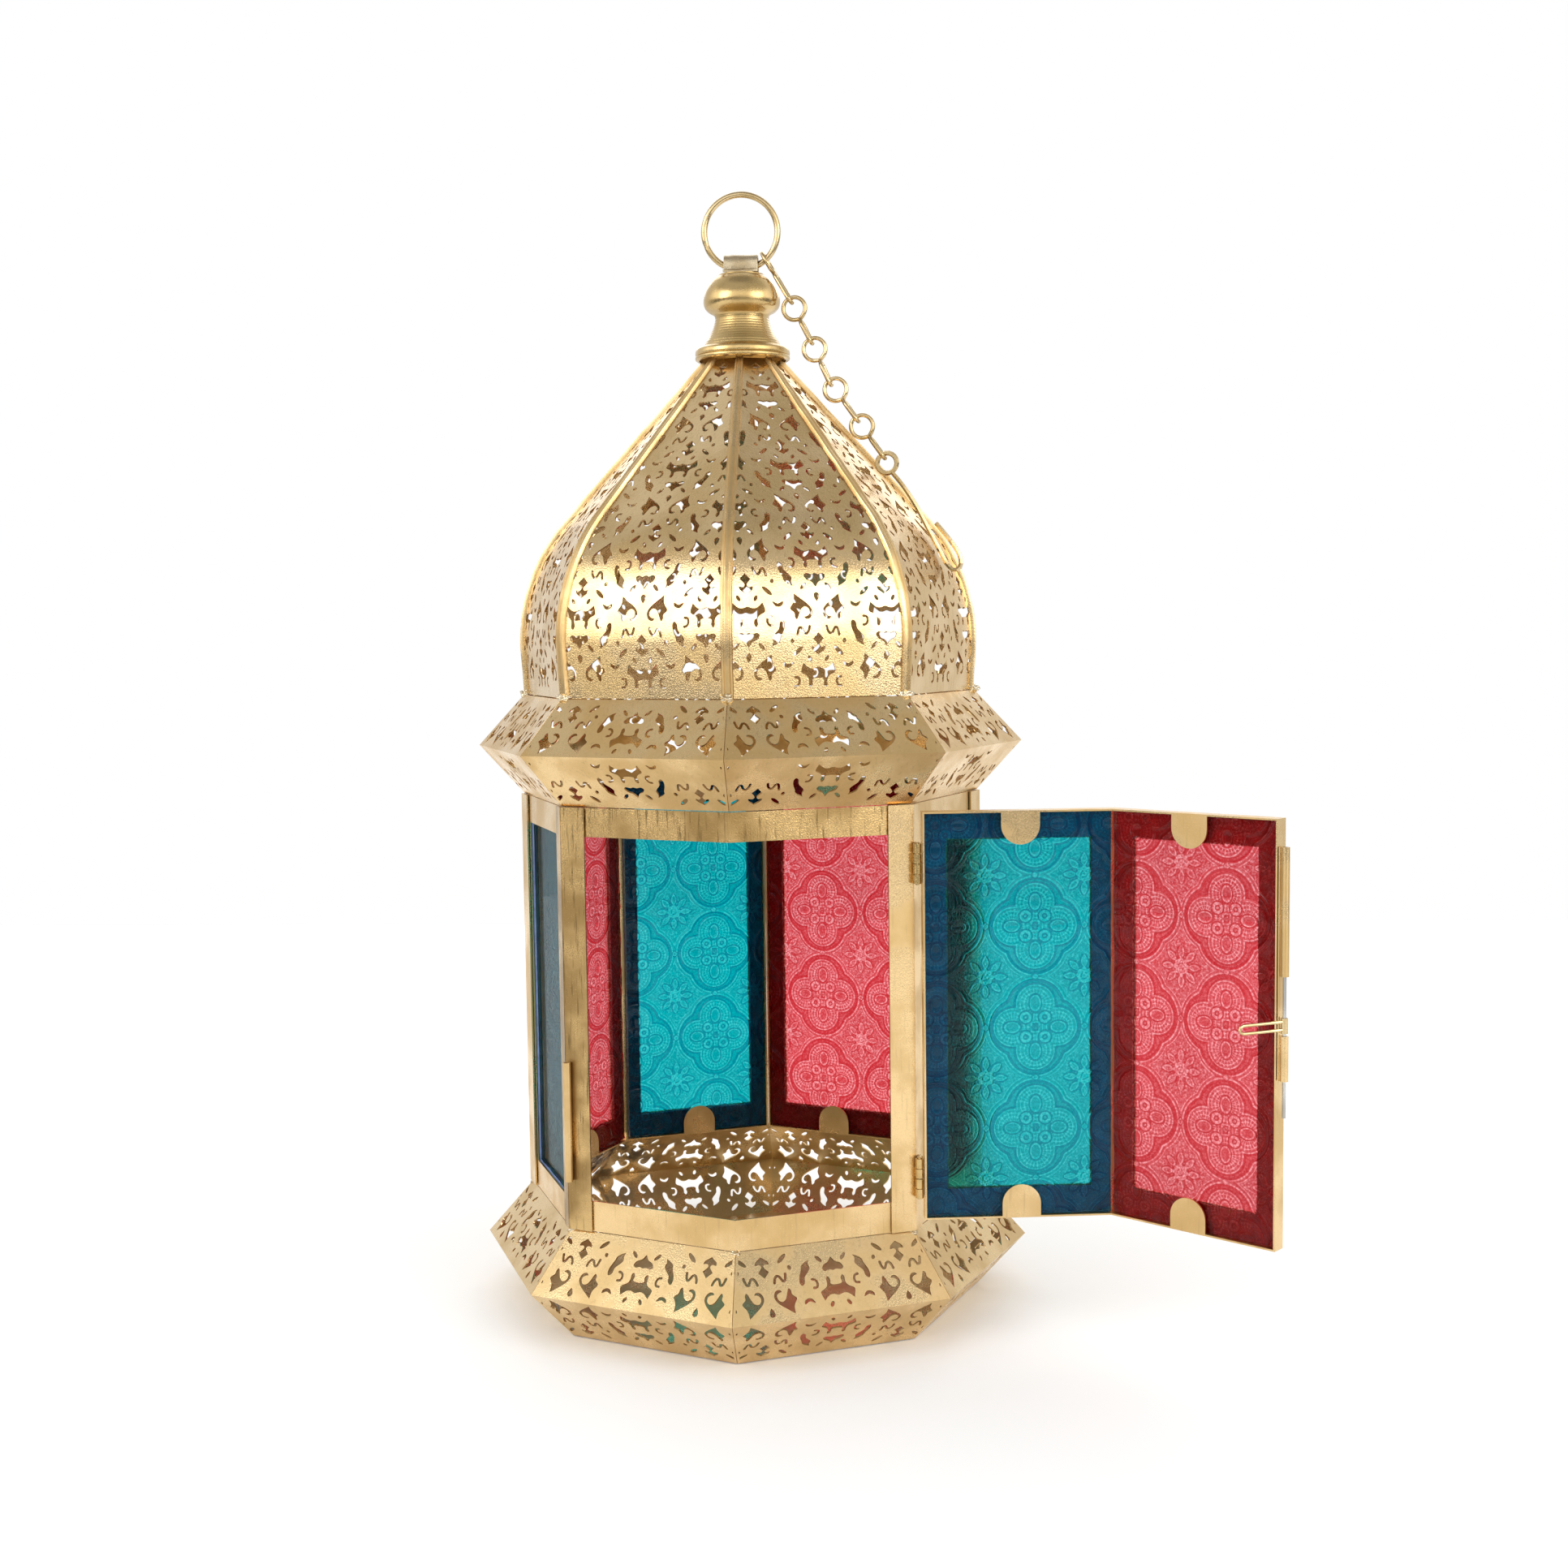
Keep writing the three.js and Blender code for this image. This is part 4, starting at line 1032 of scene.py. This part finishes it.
def corner_place(k, radius, z):
    """A point on corner k of the octagon; the radius is measured to the flat sides."""
    angle = -math.pi / 2 + k * STEP
    return Vector((math.cos(angle) * radius / COS, math.sin(angle) * radius / COS, z))


eave = band_profile("eave_panel_1")
base = band_profile("base_panel_1")
for k in range(SIDES):
    eave_place = corner_place(k, eave[2][0] - 1.2, eave[2][1] + 0.6)
    base_place = corner_place(k, base[2][0] - 0.6, base[2][1] - 0.5)
    solder(f"eave_solder_{k + 1}", eave_place, EAVE_LUMP, k)
    solder(f"base_solder_{k + 1}", base_place, BASE_LUMP, BASE_SEED + k)


# ---------------------------------------------------------------- floor, light and camera
FLOOR_HALF = 900
FLOOR_DROP = 0.4  # under the lantern's foot, so that the two never share a plane


def stage_floor():
    made, tree, shader, coords = new_material("floor_paper")
    tone = mixed(tree, spots(tree, coords, 6, 2), colour(0.93, 0.93, 0.925), colour(0.90, 0.90, 0.895))
    tree.links.new(tone, shader.inputs["Base Color"])
    shader.inputs["Roughness"].default_value = 0.75
    half, z = FLOOR_HALF, -FLOOR_DROP
    corners = [(-half, -half, z), (half, -half, z), (half, half, z), (-half, half, z)]
    obj = mesh_object("floor", corners, [(0, 1, 2, 3)])
    obj.data.materials.append(made)


LIT_PLACE = Vector((0, 0, 0.2))


def area_light(name, place, size, power):
    """A lamp at a place in metres that looks at the middle of the lantern."""
    light = bpy.data.lights.new(name, "AREA")
    light.shape = "RECTANGLE"
    light.size, light.size_y = size
    light.energy = power
    obj = bpy.data.objects.new(name, light)
    obj.location = place
    obj.rotation_euler = (LIT_PLACE - Vector(place)).to_track_quat("-Z", "Y").to_euler()
    bpy.context.scene.collection.objects.link(obj)


# Reflected studio in front of the lantern, from the floor up: where a change starts and ends, as the height
# of the direction that is seen, and the brightness above it.
FLOOR_LEVEL = 0.25
BANDS = [(-0.02, 0.17, 1.6), (0.54, 0.62, 0.60), (0.88, 0.96, 0.35)]
BEHIND_LEVEL = 0.88


def studio_world():
    """White to look at and through; in reflections, brighter and darker bands like a studio's walls."""
    world = bpy.data.worlds.new("studio")
    bpy.context.scene.world = world
    world.use_nodes = True
    tree = world.node_tree
    background = tree.nodes["Background"]
    direction = add(tree, "ShaderNodeTexCoord").outputs["Generated"]
    parts = add(tree, "ShaderNodeSeparateXYZ", {"Vector": direction})

    def blend(share, first, second):
        inputs = {0: share, 2: first, 3: second}
        return add(tree, "ShaderNodeMix", inputs, data_type="FLOAT").outputs[0]

    front = FLOOR_LEVEL
    for low, high, level in BANDS:
        front = blend(ramp(tree, parts.outputs["Z"], low, high), front, level)
    mirrored = blend(ramp(tree, parts.outputs["Y"], 0.0, 0.45), front, BEHIND_LEVEL)
    ray = add(tree, "ShaderNodeLightPath")
    plain = calc(tree, "MAXIMUM", ray.outputs["Is Camera Ray"], ray.outputs["Is Transmission Ray"])
    plain = calc(tree, "MAXIMUM", plain, ray.outputs["Is Diffuse Ray"])
    tree.links.new(blend(plain, mirrored, 1.0), background.inputs["Strength"])
    background.inputs["Color"].default_value = colour(1, 1, 1)


def camera():
    """The photo's camera, as solved from the outline of the body."""
    place = Vector((0.0559, -0.7086, 0.2445))
    forward = Vector((-0.0600, 0.9952, -0.0777)).normalized()
    right = forward.cross(Vector((0, 0, 1))).normalized()
    up = right.cross(forward)
    roll = math.radians(-0.745)
    turned_right = right * math.cos(roll) + up * math.sin(roll)
    turned_up = -right * math.sin(roll) + up * math.cos(roll)
    data = bpy.data.cameras.new("camera")
    data.lens = 43.83
    data.sensor_width = 36
    data.clip_start = 0.01
    obj = bpy.data.objects.new("camera", data)
    turn = Matrix((turned_right, turned_up, -forward)).transposed()
    obj.matrix_world = Matrix.Translation(place) @ turn.to_4x4()
    bpy.context.scene.collection.objects.link(obj)
    bpy.context.scene.camera = obj


bpy.context.scene.view_settings.view_transform = "Standard"
stage_floor()
studio_world()
camera()
area_light("key", (-1.1, -0.9, 0.8), size=(0.8, 0.9), power=6)
area_light("fill", (1.1, -0.9, 0.7), size=(0.8, 0.9), power=7)
area_light("back", (0.0, 1.5, 1.3), size=(1.8, 1.2), power=8)
